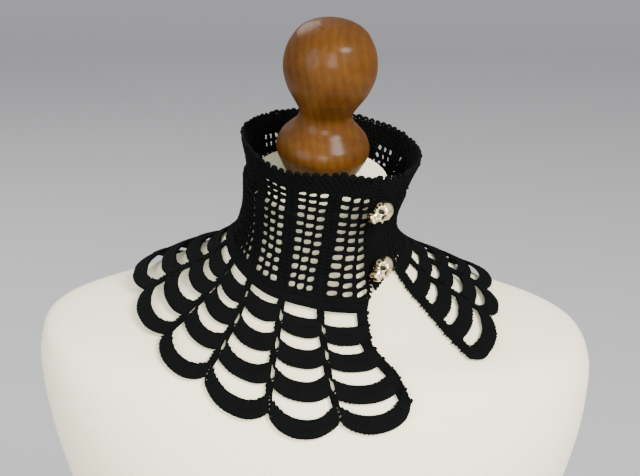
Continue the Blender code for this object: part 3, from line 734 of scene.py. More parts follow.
class StitchRows:
    """Collects the stitches above a lowest place in the cloth, and turns them into a cloud of points."""

    def __init__(self, lowest=math.inf):
        scene = bpy.context.scene
        units = {
            "metre": 1.0,
            "arc": 1.0,
            "pitch": scene.stitches.pitch,
            "row": scene.stitches.row_pitch,
            "picot": scene.collar.picot_height,
        }
        self.lowest = lowest
        self.stitches = []
        self.sizes = {
            row["kind"]: (row["length"] * units[row["unit"]], row["width"])
            for row in rows(STITCH_COLUMNS, STITCHES)
        }

    def add(self, kind, column, down, lift, turn, stretch=1.0):
        """turn is 0 for a stitch that lies down the cloth and 90 for one that lies across."""
        length, width = self.sizes[kind]
        if down < self.lowest:
            self.stitches.append((column, down, lift, turn, length * stretch, width))

    def points_object(self, name, chart, inside=False):
        column, down, lift, turn, length, width = np.array(self.stitches).T
        place = chart.place(column, down, lift)
        across = chart.place(column + 0.01, down, lift) - chart.place(column - 0.01, down, lift)
        across /= np.linalg.norm(across, axis=1, keepdims=True)
        below = chart.place(column, down + 0.001, lift)
        below -= chart.place(column, np.maximum(down - 0.001, 0.0), lift)
        below -= across * (below * across).sum(1)[:, None]
        below /= np.linalg.norm(below, axis=1, keepdims=True)
        turn = np.radians(turn)[:, None]
        along = below * np.cos(turn) + across * np.sin(turn)
        normal = np.cross(across, below)
        mesh = bpy.data.meshes.new(name)
        mesh.from_pydata(place.tolist(), [], [])
        set_attribute(mesh, "along", "FLOAT_VECTOR", along)
        set_attribute(mesh, "outward", "FLOAT_VECTOR", -normal if inside else normal)
        set_attribute(mesh, "size", "FLOAT_VECTOR", np.stack((width, length, width), 1))
        points = bpy.data.objects.new(name + "_points", mesh)
        bpy.context.scene.collection.objects.link(points)
        return points


def feed(tree, socket, value):
    """Sets a socket's value, or links it where the value is another node's output."""
    if isinstance(value, bpy.types.NodeSocket):
        tree.links.new(value, socket)
    else:
        socket.default_value = value


def feed_all(tree, node, **inputs):
    """Feeds these inputs of a node, by their names with underscores for spaces."""
    for name, value in inputs.items():
        feed(tree, node.inputs[name.replace("_", " ")], value)


def add_node(tree, kind, **inputs):
    node = tree.nodes.new(kind)
    feed_all(tree, node, **inputs)
    return node


def math_node(tree, operation, *values, clamp=False):
    node = tree.nodes.new("ShaderNodeMath")
    node.operation = operation
    node.use_clamp = clamp
    for socket, value in zip(node.inputs, values):
        feed(tree, socket, value)
    return node.outputs[0]


def vector_of(tree, x=0.0, y=0.0, z=0.0):
    return add_node(tree, "ShaderNodeCombineXYZ", X=x, Y=y, Z=z).outputs["Vector"]


def new_group(name, kind, inputs, outputs):
    """A node group with these sockets: (name, type, default, lowest, highest) or (name, type)."""
    tree = bpy.data.node_groups.new(name, kind)
    for direction, sockets in (("INPUT", inputs), ("OUTPUT", outputs)):
        for socket_name, socket_type, *values in sockets:
            socket = tree.interface.new_socket(name=socket_name, in_out=direction, socket_type=socket_type)
            if values:
                socket.default_value = values[0]
            if len(values) > 1:
                socket.min_value, socket.max_value = values[1:]
    enter = tree.nodes.new("NodeGroupInput")
    leave = tree.nodes.new("NodeGroupOutput")
    return tree, enter, leave


# Geometry nodes that set a shape at each point of a stitch cloud


def random_value(tree, lowest, highest, seed):
    """A number between two numbers or sockets, or a vector between two tuples, random at each point."""
    node = tree.nodes.new("FunctionNodeRandomValue")
    is_vector = isinstance(lowest, tuple)
    node.data_type = "FLOAT_VECTOR" if is_vector else "FLOAT"
    first = 0 if is_vector else 2
    feed(tree, node.inputs[first], lowest)
    feed(tree, node.inputs[first + 1], highest)
    feed(tree, node.inputs["Seed"], seed)
    return node.outputs[0 if is_vector else 1]


def point_vector(tree, name):
    """A vector that each point of the cloud carries."""
    node = add_node(tree, "GeometryNodeInputNamedAttribute", Name=name)
    node.data_type = "FLOAT_VECTOR"
    return node.outputs["Attribute"]


def point_facing(tree):
    """The turn that lays a shape's +Z outwards and its +Y along the stitch."""
    node = tree.nodes.new("FunctionNodeAxesToRotation")
    node.primary_axis = "Z"
    node.secondary_axis = "Y"
    feed(tree, node.inputs["Primary Axis"], point_vector(tree, "outward"))
    feed(tree, node.inputs["Secondary Axis"], point_vector(tree, "along"))
    return node.outputs["Rotation"]


def set_on_points(tree, enter, leave, shape, facing, unevenness):
    """Sets the shape at each point in the point's own size, and dresses it."""
    scale = tree.nodes.new("ShaderNodeVectorMath")
    scale.operation = "SCALE"
    feed(tree, scale.inputs[0], point_vector(tree, "size"))
    feed(tree, scale.inputs["Scale"], unevenness)
    instance = add_node(
        tree,
        "GeometryNodeInstanceOnPoints",
        Points=enter.outputs["Geometry"],
        Instance=shape,
        Rotation=facing,
        Scale=scale.outputs["Vector"],
    )
    realize = add_node(tree, "GeometryNodeRealizeInstances", Geometry=instance.outputs["Instances"])
    dress = add_node(
        tree,
        "GeometryNodeSetMaterial",
        Geometry=realize.outputs["Geometry"],
        Material=enter.outputs["Material"],
    )
    feed(tree, leave.inputs["Geometry"], dress.outputs["Geometry"])


def stitch_tree():
    """Geometry nodes that set a two-strand stitch at each point of a cloud."""
    if "Stitch Rows" in bpy.data.node_groups:
        return bpy.data.node_groups["Stitch Rows"]
    tree, enter, leave = new_group(
        "Stitch Rows",
        "GeometryNodeTree",
        (
            ("Geometry", "NodeSocketGeometry"),
            ("Strand Radius", "NodeSocketFloat", 0.30, 0.05, 0.6),
            ("Strand Spread", "NodeSocketFloat", 0.25, 0.0, 0.6),
            ("Strand Lean", "NodeSocketFloat", 0.35, -1.2, 1.2),
            ("Unevenness", "NodeSocketFloat", 0.12, 0.0, 0.5),
            ("Seed", "NodeSocketInt", 7, 0, 1000),
            ("Material", "NodeSocketMaterial"),
        ),
        (("Geometry", "NodeSocketGeometry"),),
    )
    radius = enter.outputs["Strand Radius"]
    join = tree.nodes.new("GeometryNodeJoinGeometry")
    for side in (-1.0, 1.0):
        strand = add_node(tree, "GeometryNodeMeshUVSphere", Segments=5, Rings=4)
        lay = add_node(
            tree,
            "GeometryNodeTransform",
            Geometry=strand.outputs["Mesh"],
            Rotation=(math.radians(90.0), 0.0, 0.0),
        )
        aside = math_node(tree, "MULTIPLY", enter.outputs["Strand Spread"], side)
        lean = math_node(tree, "MULTIPLY", enter.outputs["Strand Lean"], -side)
        put = add_node(
            tree,
            "GeometryNodeTransform",
            Geometry=lay.outputs["Geometry"],
            Scale=vector_of(tree, radius, 0.56, radius),
            Rotation=vector_of(tree, z=lean),
            Translation=vector_of(tree, aside),
        )
        feed(tree, join.inputs["Geometry"], put.outputs["Geometry"])
    place = tree.nodes.new("GeometryNodeInputPosition")
    keep = tree.nodes.new("GeometryNodeStoreNamedAttribute")
    keep.data_type = "FLOAT_VECTOR"
    keep.domain = "POINT"
    feed(tree, keep.inputs["Name"], "strand")
    feed(tree, keep.inputs["Geometry"], join.outputs["Geometry"])
    feed(tree, keep.inputs["Value"], place.outputs["Position"])
    smooth = add_node(tree, "GeometryNodeSetShadeSmooth", Geometry=keep.outputs["Geometry"])
    lowest = math_node(tree, "SUBTRACT", 1.0, enter.outputs["Unevenness"])
    highest = math_node(tree, "ADD", 1.0, enter.outputs["Unevenness"])
    unevenness = random_value(tree, lowest, highest, enter.outputs["Seed"])
    set_on_points(tree, enter, leave, smooth.outputs["Geometry"], point_facing(tree), unevenness)
    return tree


def picot_tree():
    """Geometry nodes that set a closed loop of cord at each point, each turned a little its own way."""
    tree, enter, leave = new_group(
        "Picot Loops",
        "GeometryNodeTree",
        (
            ("Geometry", "NodeSocketGeometry"),
            ("Cord Radius", "NodeSocketFloat", 0.2, 0.02, 0.5),
            ("Seed", "NodeSocketInt", 3, 0, 1000),
            ("Material", "NodeSocketMaterial"),
        ),
        (("Geometry", "NodeSocketGeometry"),),
    )
    seed = enter.outputs["Seed"]
    loop = add_node(tree, "GeometryNodeCurvePrimitiveCircle", Resolution=9, Radius=0.36)
    cord = add_node(
        tree, "GeometryNodeCurvePrimitiveCircle", Resolution=5, Radius=enter.outputs["Cord Radius"]
    )
    tube = add_node(
        tree,
        "GeometryNodeCurveToMesh",
        Curve=loop.outputs["Curve"],
        Profile_Curve=cord.outputs["Curve"],
    )
    smooth = add_node(tree, "GeometryNodeSetShadeSmooth", Geometry=tube.outputs["Mesh"])
    turned = tree.nodes.new("FunctionNodeRotateRotation")
    turned.rotation_space = "LOCAL"
    feed(tree, turned.inputs[0], point_facing(tree))
    feed(tree, turned.inputs[1], random_value(tree, (-0.35, -0.2, -0.40), (0.35, 0.2, 0.40), seed))
    unevenness = random_value(tree, 0.78, 1.16, seed)
    shape, facing = smooth.outputs["Geometry"], turned.outputs["Rotation"]
    set_on_points(tree, enter, leave, shape, facing, unevenness)
    return tree


def set_inputs(modifier, tree, values):
    """Sets a Geometry Nodes modifier's inputs by the names of the tree's sockets."""
    for item in tree.interface.items_tree:
        if item.item_type == "SOCKET" and item.in_out == "INPUT" and item.name in values:
            modifier[item.identifier] = values[item.name]


def baked(name, source, tree, values):
    """Runs the tree on the source object and keeps the result as a plain mesh."""
    modifier = source.modifiers.new("nodes", "NODES")
    modifier.node_group = tree
    set_inputs(modifier, tree, values)
    bpy.context.view_layer.update()
    graph = bpy.context.evaluated_depsgraph_get()
    mesh = bpy.data.meshes.new_from_object(source.evaluated_get(graph))
    if not mesh.polygons:
        raise RuntimeError(f"{name}: the nodes made no faces")
    mesh.name = name
    source.modifiers.remove(modifier)
    old = source.data
    bpy.data.objects.remove(source)
    bpy.data.meshes.remove(old)
    piece = bpy.data.objects.new(name, mesh)
    bpy.context.scene.collection.objects.link(piece)
    return piece


def work_stitches(name, stitches, inside=False):
    """Makes a piece of cotton stitches, one at each place that was collected."""
    points = stitches.points_object(name, get_chart(), inside)
    settings = bpy.context.scene.stitches
    values = {
        "Strand Radius": settings.strand_radius,
        "Unevenness": settings.unevenness,
        "Seed": settings.seed,
        "Material": cotton_material(),
        **CHAIN,
    }
    finish_piece(baked(name, points, stitch_tree(), values), "black_cotton")


def finish_piece(piece, slot, *nodes):
    """Rides the piece on the part's only body, in place of these CAD nodes."""
    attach(piece, "root")
    if nodes:
        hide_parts(*nodes)
    made[piece.name] = piece


# Shader node groups and materials


def mix_colors(tree, share, first, second):
    node = tree.nodes.new("ShaderNodeMix")
    node.data_type = "RGBA"
    colors = [socket for socket in node.inputs if socket.type == "RGBA"]
    for socket, value in zip((node.inputs[0], *colors), (share, first, second)):
        feed(tree, socket, value)
    return next(socket for socket in node.outputs if socket.type == "RGBA")


def noise(tree, vector, **inputs):
    return add_node(tree, "ShaderNodeTexNoise", Vector=vector, **inputs).outputs[0]


def scaled_sum(tree, first, share, second, clamp=False):
    """first times share, plus second."""
    return math_node(tree, "ADD", math_node(tree, "MULTIPLY", first, share), second, clamp=clamp)


def bumped(tree, depth, height, normal=None, invert=False):
    """The normal of a surface raised by the depth times this height, which is between 0 and 1."""
    node = add_node(tree, "ShaderNodeBump", Distance=depth, Height=height)
    node.invert = invert
    if normal is not None:
        feed(tree, node.inputs["Normal"], normal)
    return node.outputs["Normal"]


def surface_group(name, inputs):
    """A shader group that puts out a colour, a roughness and a normal."""
    outputs = (
        ("Color", "NodeSocketColor"),
        ("Roughness", "NodeSocketFloat"),
        ("Normal", "NodeSocketVector"),
    )
    return new_group(name, "ShaderNodeTree", inputs, outputs)


def finish_group(tree, leave, color, rough, normal):
    for name, value in (("Color", color), ("Roughness", rough), ("Normal", normal)):
        feed(tree, leave.inputs[name], value)
    return tree


def yarn_group():
    """Colour, roughness and normal of spun cotton: fuzzy fibres, and the turns of its plies, with painted
    shade in the grooves between the turns.
    """
    tree, enter, leave = surface_group(
        "Spun Yarn",
        (
            ("Vector", "NodeSocketVector"),
            ("Strand", "NodeSocketVector"),
            ("Dark Color", "NodeSocketColor", (0.010, 0.010, 0.010, 1.0)),
            ("Light Color", "NodeSocketColor", (0.030, 0.030, 0.030, 1.0)),
            ("Fibre Scale", "NodeSocketFloat", 2600.0, 1.0, 20000.0),
            ("Fibre Depth", "NodeSocketFloat", 0.00012, 0.0, 0.01),
            ("Ply Turns", "NodeSocketFloat", 3.0, 0.0, 20.0),
            ("Ply Depth", "NodeSocketFloat", 0.00015, 0.0, 0.01),
        ),
    )
    vector = enter.outputs["Vector"]
    fibres = noise(tree, vector, Scale=enter.outputs["Fibre Scale"], Detail=3.0, Roughness=0.65)
    patches = noise(tree, vector, Scale=90.0, Detail=2.0)
    strand = add_node(tree, "ShaderNodeSeparateXYZ", Vector=enter.outputs["Strand"])
    along = scaled_sum(tree, strand.outputs["X"], 0.9, strand.outputs["Y"])
    turns = math_node(tree, "MULTIPLY", along, enter.outputs["Ply Turns"])
    wave = math_node(tree, "SINE", math_node(tree, "MULTIPLY", turns, 2 * math.pi))
    ply = scaled_sum(tree, wave, 0.5, 0.5)
    # Painted shade: the colour darkens in the grooves between the plies' turns; the fibre and patch tone
    # varies at random.
    light = math_node(tree, "MULTIPLY", fibres, ply)
    light = scaled_sum(tree, patches, 0.35, light, clamp=True)
    color = mix_colors(tree, light, enter.outputs["Dark Color"], enter.outputs["Light Color"])
    rough = scaled_sum(tree, fibres, 0.20, 0.72)
    fuzz = bumped(tree, enter.outputs["Fibre Depth"], fibres)
    twist = bumped(tree, enter.outputs["Ply Depth"], ply, normal=fuzz)
    return finish_group(tree, leave, color, rough, twist)


def new_material(name):
    """A new material, its tree, its shader, and the place on the object that its patterns read."""
    material = bpy.data.materials.new(name)
    material.use_nodes = True
    tree = material.node_tree
    place = tree.nodes.new("ShaderNodeTexCoord").outputs["Object"]
    return material, tree, tree.nodes["Principled BSDF"], place


def use_group(tree, shader, group, **values):
    """Places the group in a material, with these values or sockets, and links it to the shader."""
    node = tree.nodes.new("ShaderNodeGroup")
    node.node_tree = group
    feed_all(tree, node, **values)
    color, rough, normal = (node.outputs[name] for name in ("Color", "Roughness", "Normal"))
    feed_all(tree, shader, Base_Color=color, Roughness=rough, Normal=normal)


def attribute_node(tree, name):
    node = tree.nodes.new("ShaderNodeAttribute")
    node.attribute_name = name
    return node


def cotton_material():
    """Matt black crochet cotton."""
    if "black_crochet_cotton" in bpy.data.materials:
        return bpy.data.materials["black_crochet_cotton"]
    settings = bpy.context.scene.collar
    material, tree, shader, place = new_material("black_crochet_cotton")
    use_group(
        tree,
        shader,
        yarn_group(),
        Vector=place,
        Strand=attribute_node(tree, "strand").outputs["Vector"],
        Dark_Color=(*settings.cotton_color, 1.0),
        Light_Color=(*(3.0 * value for value in settings.cotton_color), 1.0),
    )
    feed_all(tree, shader, Specular_IOR_Level=0.04)
    return material


def jersey_group():
    """Colour, roughness and normal of a fine ribbed jersey, stretched over the form, with painted shade in
    the grooves between its ribs.
    """
    tree, enter, leave = surface_group(
        "Ribbed Jersey",
        (
            ("Vector", "NodeSocketVector"),
            ("Cloth", "NodeSocketVector"),
            ("Rib Pitch", "NodeSocketFloat", 0.0018, 0.0001, 0.01),
            ("Rib Depth", "NodeSocketFloat", 0.0003, 0.0, 0.01),
            ("Course Pitch", "NodeSocketFloat", 0.0014, 0.0001, 0.01),
            ("Light Color", "NodeSocketColor", (0.9, 0.87, 0.78, 1.0)),
            ("Groove Color", "NodeSocketColor", (0.7, 0.66, 0.58, 1.0)),
        ),
    )
    vector = enter.outputs["Vector"]
    cloth = add_node(tree, "ShaderNodeSeparateXYZ", Vector=enter.outputs["Cloth"])
    waves = []
    for axis, pitch in (("X", "Rib Pitch"), ("Y", "Course Pitch")):
        turns = math_node(tree, "DIVIDE", cloth.outputs[axis], enter.outputs[pitch])
        wave = math_node(tree, "SINE", math_node(tree, "MULTIPLY", turns, 2 * math.pi))
        waves.append(scaled_sum(tree, wave, 0.5, 0.5))
    rib, course = waves
    fibres = noise(tree, vector, Scale=1500.0, Detail=3.0)
    soil = noise(tree, vector, Scale=7.0, Detail=4.0)
    height = scaled_sum(tree, fibres, 0.35, scaled_sum(tree, course, 0.25, rib))
    normal = bumped(tree, enter.outputs["Rib Depth"], height)
    # Painted shade: the grooves between the ribs are mixed towards the darker colour.
    groove_shade = math_node(tree, "MULTIPLY", math_node(tree, "SUBTRACT", 1.0, rib), 0.35)
    color = mix_colors(tree, groove_shade, enter.outputs["Light Color"], enter.outputs["Groove Color"])
    shade = math_node(tree, "MULTIPLY", soil, 0.16)
    color = mix_colors(tree, shade, color, enter.outputs["Groove Color"])
    return finish_group(tree, leave, color, scaled_sum(tree, fibres, 0.15, 0.75), normal)


def jersey_material():
    settings = bpy.context.scene.dress_form
    material, tree, shader, place = new_material("cream_ribbed_jersey")
    cloth = tree.nodes.new("ShaderNodeUVMap")
    cloth.uv_map = "cloth"
    use_group(
        tree,
        shader,
        jersey_group(),
        Vector=place,
        Cloth=cloth.outputs["UV"],
        Rib_Pitch=settings.rib_pitch,
        Rib_Depth=settings.rib_depth,
        Light_Color=(*settings.jersey_color, 1.0),
        # The darker colour paints shade in the rib grooves, and also tints the random soil patches.
        Groove_Color=(*(0.72 * value for value in settings.jersey_color), 1.0),
    )
    feed_all(tree, shader, Sheen_Weight=0.15, Sheen_Roughness=0.5, Specular_IOR_Level=0.3)
    return material


def wood_group():
    """Colour, roughness and normal of turned wood: year rings, clouds, streaks and pores."""
    tree, enter, leave = surface_group(
        "Turned Wood",
        (
            ("Vector", "NodeSocketVector"),
            ("Early Color", "NodeSocketColor", (0.45, 0.20, 0.06, 1.0)),
            ("Late Color", "NodeSocketColor", (0.20, 0.07, 0.02, 1.0)),
            ("Pore Color", "NodeSocketColor", (0.028, 0.008, 0.002, 1.0)),
            ("Ring Scale", "NodeSocketFloat", 90.0, 1.0, 1000.0),
            ("Waver", "NodeSocketFloat", 7.0, 0.0, 20.0),
            ("Pore Depth", "NodeSocketFloat", 0.00006, 0.0, 0.01),
        ),
    )
    vector = enter.outputs["Vector"]
    pith = add_node(
        tree,
        "ShaderNodeMapping",
        Vector=vector,
        Location=(0.055, 0.095, -0.34),
        Rotation=(math.radians(24.0), math.radians(14.0), 0.0),
        Scale=(1.0, 1.0, 0.45),
    )
    rings = add_node(
        tree,
        "ShaderNodeTexWave",
        Vector=pith.outputs["Vector"],
        Scale=enter.outputs["Ring Scale"],
        Distortion=enter.outputs["Waver"],
        Detail=3.0,
        Detail_Scale=0.35,
        Detail_Roughness=0.55,
    )
    rings.wave_type = "RINGS"
    rings.rings_direction = "Z"
    stretch = add_node(
        tree,
        "ShaderNodeMapping",
        Vector=vector,
        Rotation=(math.radians(8.0), math.radians(6.0), 0.0),
        Scale=(1.0, 1.0, 0.12),
    )
    grain = stretch.outputs["Vector"]
    pores = noise(tree, grain, Scale=1100.0, Detail=2.0)
    pits = math_node(tree, "MULTIPLY", math_node(tree, "SUBTRACT", pores, 0.60), 7.0, clamp=True)
    cloud = noise(tree, vector, Scale=24.0, Detail=4.0, Roughness=0.6, Distortion=1.2)
    streaks = noise(tree, grain, Scale=260.0, Detail=2.0)
    late = math_node(tree, "MULTIPLY", rings.outputs["Fac"], 0.14)
    late = scaled_sum(tree, cloud, 1.25, late)
    late = scaled_sum(tree, streaks, 0.34, late)
    late = math_node(tree, "SUBTRACT", late, 0.48, clamp=True)
    color = mix_colors(tree, late, enter.outputs["Early Color"], enter.outputs["Late Color"])
    stained = math_node(tree, "MULTIPLY", pits, 0.60)
    color = mix_colors(tree, stained, color, enter.outputs["Pore Color"])
    normal = bumped(tree, enter.outputs["Pore Depth"], pits, invert=True)
    return finish_group(tree, leave, color, scaled_sum(tree, pores, 0.18, 0.38), normal)


def wood_material():
    settings = bpy.context.scene.finial
    material, tree, shader, place = new_material("varnished_turned_wood")
    use_group(
        tree,
        shader,
        wood_group(),
        Vector=place,
        Early_Color=(*settings.early_color, 1.0),
        Late_Color=(*settings.late_color, 1.0),
        Ring_Scale=settings.ring_scale,
    )
    feed_all(tree, shader, Specular_IOR_Level=0.04, Coat_Weight=0.13, Coat_Roughness=0.22)
    return material


def gold_group():
    """Colour, roughness and normal of a small casting, bright where it is high and dark in its hollows with
    tarnish and painted shade.
    """
    tree, enter, leave = surface_group(
        "Cast Gold",
        (
            ("Vector", "NodeSocketVector"),
            ("Recess", "NodeSocketFloat", 0.0, 0.0, 1.0),
            ("Bright Color", "NodeSocketColor", (0.9, 0.74, 0.45, 1.0)),
            ("Dark Color", "NodeSocketColor", (0.10, 0.04, 0.015, 1.0)),
            ("Grain Depth", "NodeSocketFloat", 0.00005, 0.0, 0.01),
        ),
    )
    grain = noise(tree, enter.outputs["Vector"], Scale=900.0, Detail=3.0)
    # The hollows darken: partly tarnish, partly painted shade.
    tarnish_and_shade = scaled_sum(tree, grain, 0.16, enter.outputs["Recess"])
    tarnish_and_shade = math_node(tree, "SUBTRACT", tarnish_and_shade, 0.05, clamp=True)
    color = mix_colors(tree, tarnish_and_shade, enter.outputs["Bright Color"], enter.outputs["Dark Color"])
    normal = bumped(tree, enter.outputs["Grain Depth"], grain)
    return finish_group(tree, leave, color, scaled_sum(tree, tarnish_and_shade, 0.45, 0.20), normal)


def gold_material():
    """Polished gold that is metallic where it is high, and dull in its hollows, with tarnish and painted
    shade there.
    """
    if "polished_cast_gold" in bpy.data.materials:
        return bpy.data.materials["polished_cast_gold"]
    settings = bpy.context.scene.buttons
    material, tree, shader, place = new_material("polished_cast_gold")
    recess = attribute_node(tree, "recess").outputs["Fac"]
    use_group(
        tree,
        shader,
        gold_group(),
        Vector=place,
        Recess=recess,
        Bright_Color=(*settings.bright_color, 1.0),
        Dark_Color=(*settings.dark_color, 1.0),
    )
    # Not metallic in the hollows, so the painted shade there stays dark.
    metallic = math_node(tree, "SUBTRACT", 1.0, recess)
    feed_all(tree, shader, Metallic=metallic, Specular_IOR_Level=0.2)
    return material


# Settings


class DressFormSettings(bpy.types.PropertyGroup):
    rings_per_section: IntProperty(
        name="Rings per Section",
        description="Rings of faces between two sections",
        default=8,
        min=2,
        max=16,
    )
    sides: IntProperty(name="Sides", description="Faces round the form", default=144, min=36, max=288)
    rib_pitch: FloatProperty(
        name="Rib Pitch", description="Width of one rib of the jersey", default=0.0017, unit="LENGTH"
    )
    rib_depth: FloatProperty(
        name="Rib Depth", description="Height of the jersey's ribs", default=0.00022, unit="LENGTH"
    )
    jersey_color: FloatVectorProperty(
        name="Jersey", description="Colour of the jersey", default=(0.90, 0.86, 0.60), subtype="COLOR"
    )


class FinialSettings(bpy.types.PropertyGroup):
    sides: IntProperty(name="Sides", description="Faces round the finial", default=96, min=24, max=256)
    early_color: FloatVectorProperty(
        name="Early Wood",
        description="Light part of each ring",
        default=(0.094, 0.036, 0.0048),
        subtype="COLOR",
    )
    late_color: FloatVectorProperty(
        name="Late Wood",
        description="Dark part of each ring",
        default=(0.024, 0.0066, 0.0008),
        subtype="COLOR",
    )
    ring_scale: FloatProperty(name="Ring Scale", description="How close the year rings lie", default=55.0)


class CollarSettings(bpy.types.PropertyGroup):
    net_thickness: FloatProperty(
        name="Net Thickness", description="Thickness of the neckband", default=0.0016, unit="LENGTH"
    )
    button_band_thickness: FloatProperty(
        name="Button Band Thickness",
        description="Thickness of the button band",
        default=0.0015,
        unit="LENGTH",
    )
    skirt_thickness: FloatProperty(
        name="Skirt Thickness", description="Thickness of the skirt's arcs", default=0.0020, unit="LENGTH"
    )
    picot_height: FloatProperty(
        name="Picot Height",
        description="Height of a picot from its foot to its top",
        default=0.0039,
        unit="LENGTH",
    )
    cotton_color: FloatVectorProperty(
        name="Cotton",
        description="Colour of the crochet cotton",
        default=(0.0011, 0.0013, 0.0012),
        subtype="COLOR",
    )


class StitchSettings(bpy.types.PropertyGroup):
    strand_radius: FloatProperty(
        name="Strand Radius", description="Radius of a strand, as a share of its stitch", default=0.27
    )
    pitch: FloatProperty(name="Pitch", description="Length of one stitch", default=0.0033, unit="LENGTH")
    row_pitch: FloatProperty(
        name="Row Pitch", description="Height of one row", default=0.0030, unit="LENGTH"
    )
    unevenness: FloatProperty(
        name="Unevenness",
        description="How much the stitches differ in size",
        default=0.12,
        min=0.0,
        max=0.5,
    )
    seed: IntProperty(name="Seed", description="Seed of the unevenness", default=7)


class ButtonSettings(bpy.types.PropertyGroup):
    rings: IntProperty(
        name="Rings", description="Rings of faces from chin to crown", default=80, min=24, max=120
    )
    sides: IntProperty(name="Sides", description="Faces round the skull", default=96, min=24, max=160)
    bright_color: FloatVectorProperty(
        name="High Places",
        description="Colour of the polished metal",
        default=(0.96, 0.79, 0.47),
        subtype="COLOR",
    )
    # The hollows' colour: tarnish, deepened to near black as painted shade.
    dark_color: FloatVectorProperty(
        name="Hollows",
        description="Colour of the metal in its hollows",
        default=(0.004, 0.0022, 0.001),
        subtype="COLOR",
    )


class StageSettings(bpy.types.PropertyGroup):
    floor_color: FloatVectorProperty(
        name="Floor",
        description="Colour of the floor and backdrop",
        default=(0.40, 0.40, 0.412),
        subtype="COLOR",
    )
    world_strength: FloatProperty(
        name="World Strength", description="Strength of the even light", default=0.86
    )


# Pieces


class MESH_OT_dress_form(bpy.types.Operator):
    """Build the limbless form under its ribbed jersey"""

    bl_idname = "mesh.collar_dress_form"
    bl_label = "Dress Form"

    sharp_angle = math.radians(50.0)

    def execute(self, context):
        settings = context.scene.dress_form
        rings = form_rings(settings.rings_per_section, settings.sides)
        rings += FRAME_SHIFT
        mesh = loft("dress_form_jersey", rings)
        piece = add_object("dress_form_jersey", mesh, jersey_material())
        mesh.set_sharp_from_angle(angle=self.sharp_angle)
        self.unroll(mesh, rings, settings)
        finish_piece(piece, "form_jersey", "dress_form_body")
        return {"FINISHED"}

    def unroll(self, mesh, rings, settings):
        """A UV map in metres: across a whole number of ribs round the form, and up its side."""
        nearest = int(np.argmin(np.abs(rings[:, :, 2].mean(1) - RIB_SECTION_HEIGHT)))
        steps = np.linalg.norm(np.diff(rings[nearest], axis=0, append=rings[nearest][:1]), axis=1)
        around = np.concatenate(([0.0], np.cumsum(steps)))
        ribs = round(around[-1] / settings.rib_pitch)
        around *= ribs * settings.rib_pitch / around[-1]
        heights = np.cumsum(np.linalg.norm(np.diff(rings[:, 0], axis=0), axis=1))
        heights = np.concatenate(([0.0], heights))
        layer = mesh.uv_layers.new(name="cloth")
        side_faces = (len(rings) - 1) * settings.sides
        for face in mesh.polygons:
            for loop in face.loop_indices:
                index = mesh.loops[loop].vertex_index
                ring, side = divmod(index, settings.sides)
                if face.index < side_faces:
                    wraps = face.index % settings.sides == settings.sides - 1 and side == 0
                    layer.uv[loop].vector = (around[side + settings.sides * wraps], heights[ring])
                else:
                    layer.uv[loop].vector = mesh.vertices[index].co.xy


class MESH_OT_finial(bpy.types.Operator):
    """Turn the wooden finial from its profile"""

    bl_idname = "mesh.collar_finial"
    bl_label = "Neck Finial"

    steps_per_section = 6
    crown_steps = 8
    sharp_angle = math.radians(60.0)

    def outline(self):
        """Radius and height of each ring, from the eased edge of the foot to the crown."""
        profile = rows(FINIAL_COLUMNS, smoothed(FINIAL_SECTIONS[:-1], self.steps_per_section))
        foot = profile[0]["radius"]
        result = [(foot - FOOT_EDGE, 0.0), (foot - 0.3 * FOOT_EDGE, 0.3 * FOOT_EDGE), (foot, FOOT_EDGE)]
        result += [(row["radius"], row["height"]) for row in profile[1:]]
        crown_radius, shoulder = FINIAL_SECTIONS[-2][1], profile[-1]["height"]
        rise = FINIAL_SECTIONS[-1][0] - shoulder
        for step in range(1, self.crown_steps):
            angle = math.radians(90.0 * step / self.crown_steps)
            result.append((crown_radius * math.cos(angle), shoulder + rise * math.sin(angle)))
        return result

    def execute(self, context):
        sides = context.scene.finial.sides
        turns = np.arange(sides) * 2 * math.pi / sides
        rings = [
            np.stack((radius * np.cos(turns), radius * np.sin(turns), np.full(sides, height)), 1)
            for radius, height in self.outline()
        ]
        poles = ((0.0, 0.0, 0.0), (0.0, 0.0, FINIAL_SECTIONS[-1][0]))
        mesh = loft("neck_finial_turned", np.array(rings), poles)
        cap_normal = Vector((0.0, -math.sin(CAP_TILT), math.cos(CAP_TILT)))
        foot_place = NECK_TOP + Vector(FRAME_SHIFT) + cap_normal * FINIAL_GAP
        lean = Matrix.Rotation(FINIAL_LEAN, 4, "Y") @ Matrix.Rotation(CAP_TILT, 4, "X")
        mesh.transform(Matrix.Translation(foot_place) @ lean)
        piece = add_object("neck_finial_turned", mesh, wood_material())
        mesh.set_sharp_from_angle(angle=self.sharp_angle)
        finish_piece(piece, "finial_wood", "neck_finial")
        return {"FINISHED"}


def net_lattice():
    """Distances down of the neckband's lattice, and which of them its net starts and ends at."""
    net_end = BAND_HEIGHT - BOTTOM_BORDER
    net = np.linspace(TOP_BORDER, net_end, 2 * NET_MESHES_DOWN + 1).tolist()
    downs = [*BORDER_LINES, *net, net_end + 0.5 * BOTTOM_BORDER, BAND_HEIGHT]
    first = len(BORDER_LINES)
    return downs, first, first + len(net) - 1


def net_sides(chart, column, down):
    """The shares of a column's width that its net lies between; the bar at the front edge is narrow."""
    width = chart.width(column, down)
    near = FRONT_BAR_WIDTH if column == 0 else BAR_HALF_WIDTH
    return near / width, 1.0 - BAR_HALF_WIDTH / width


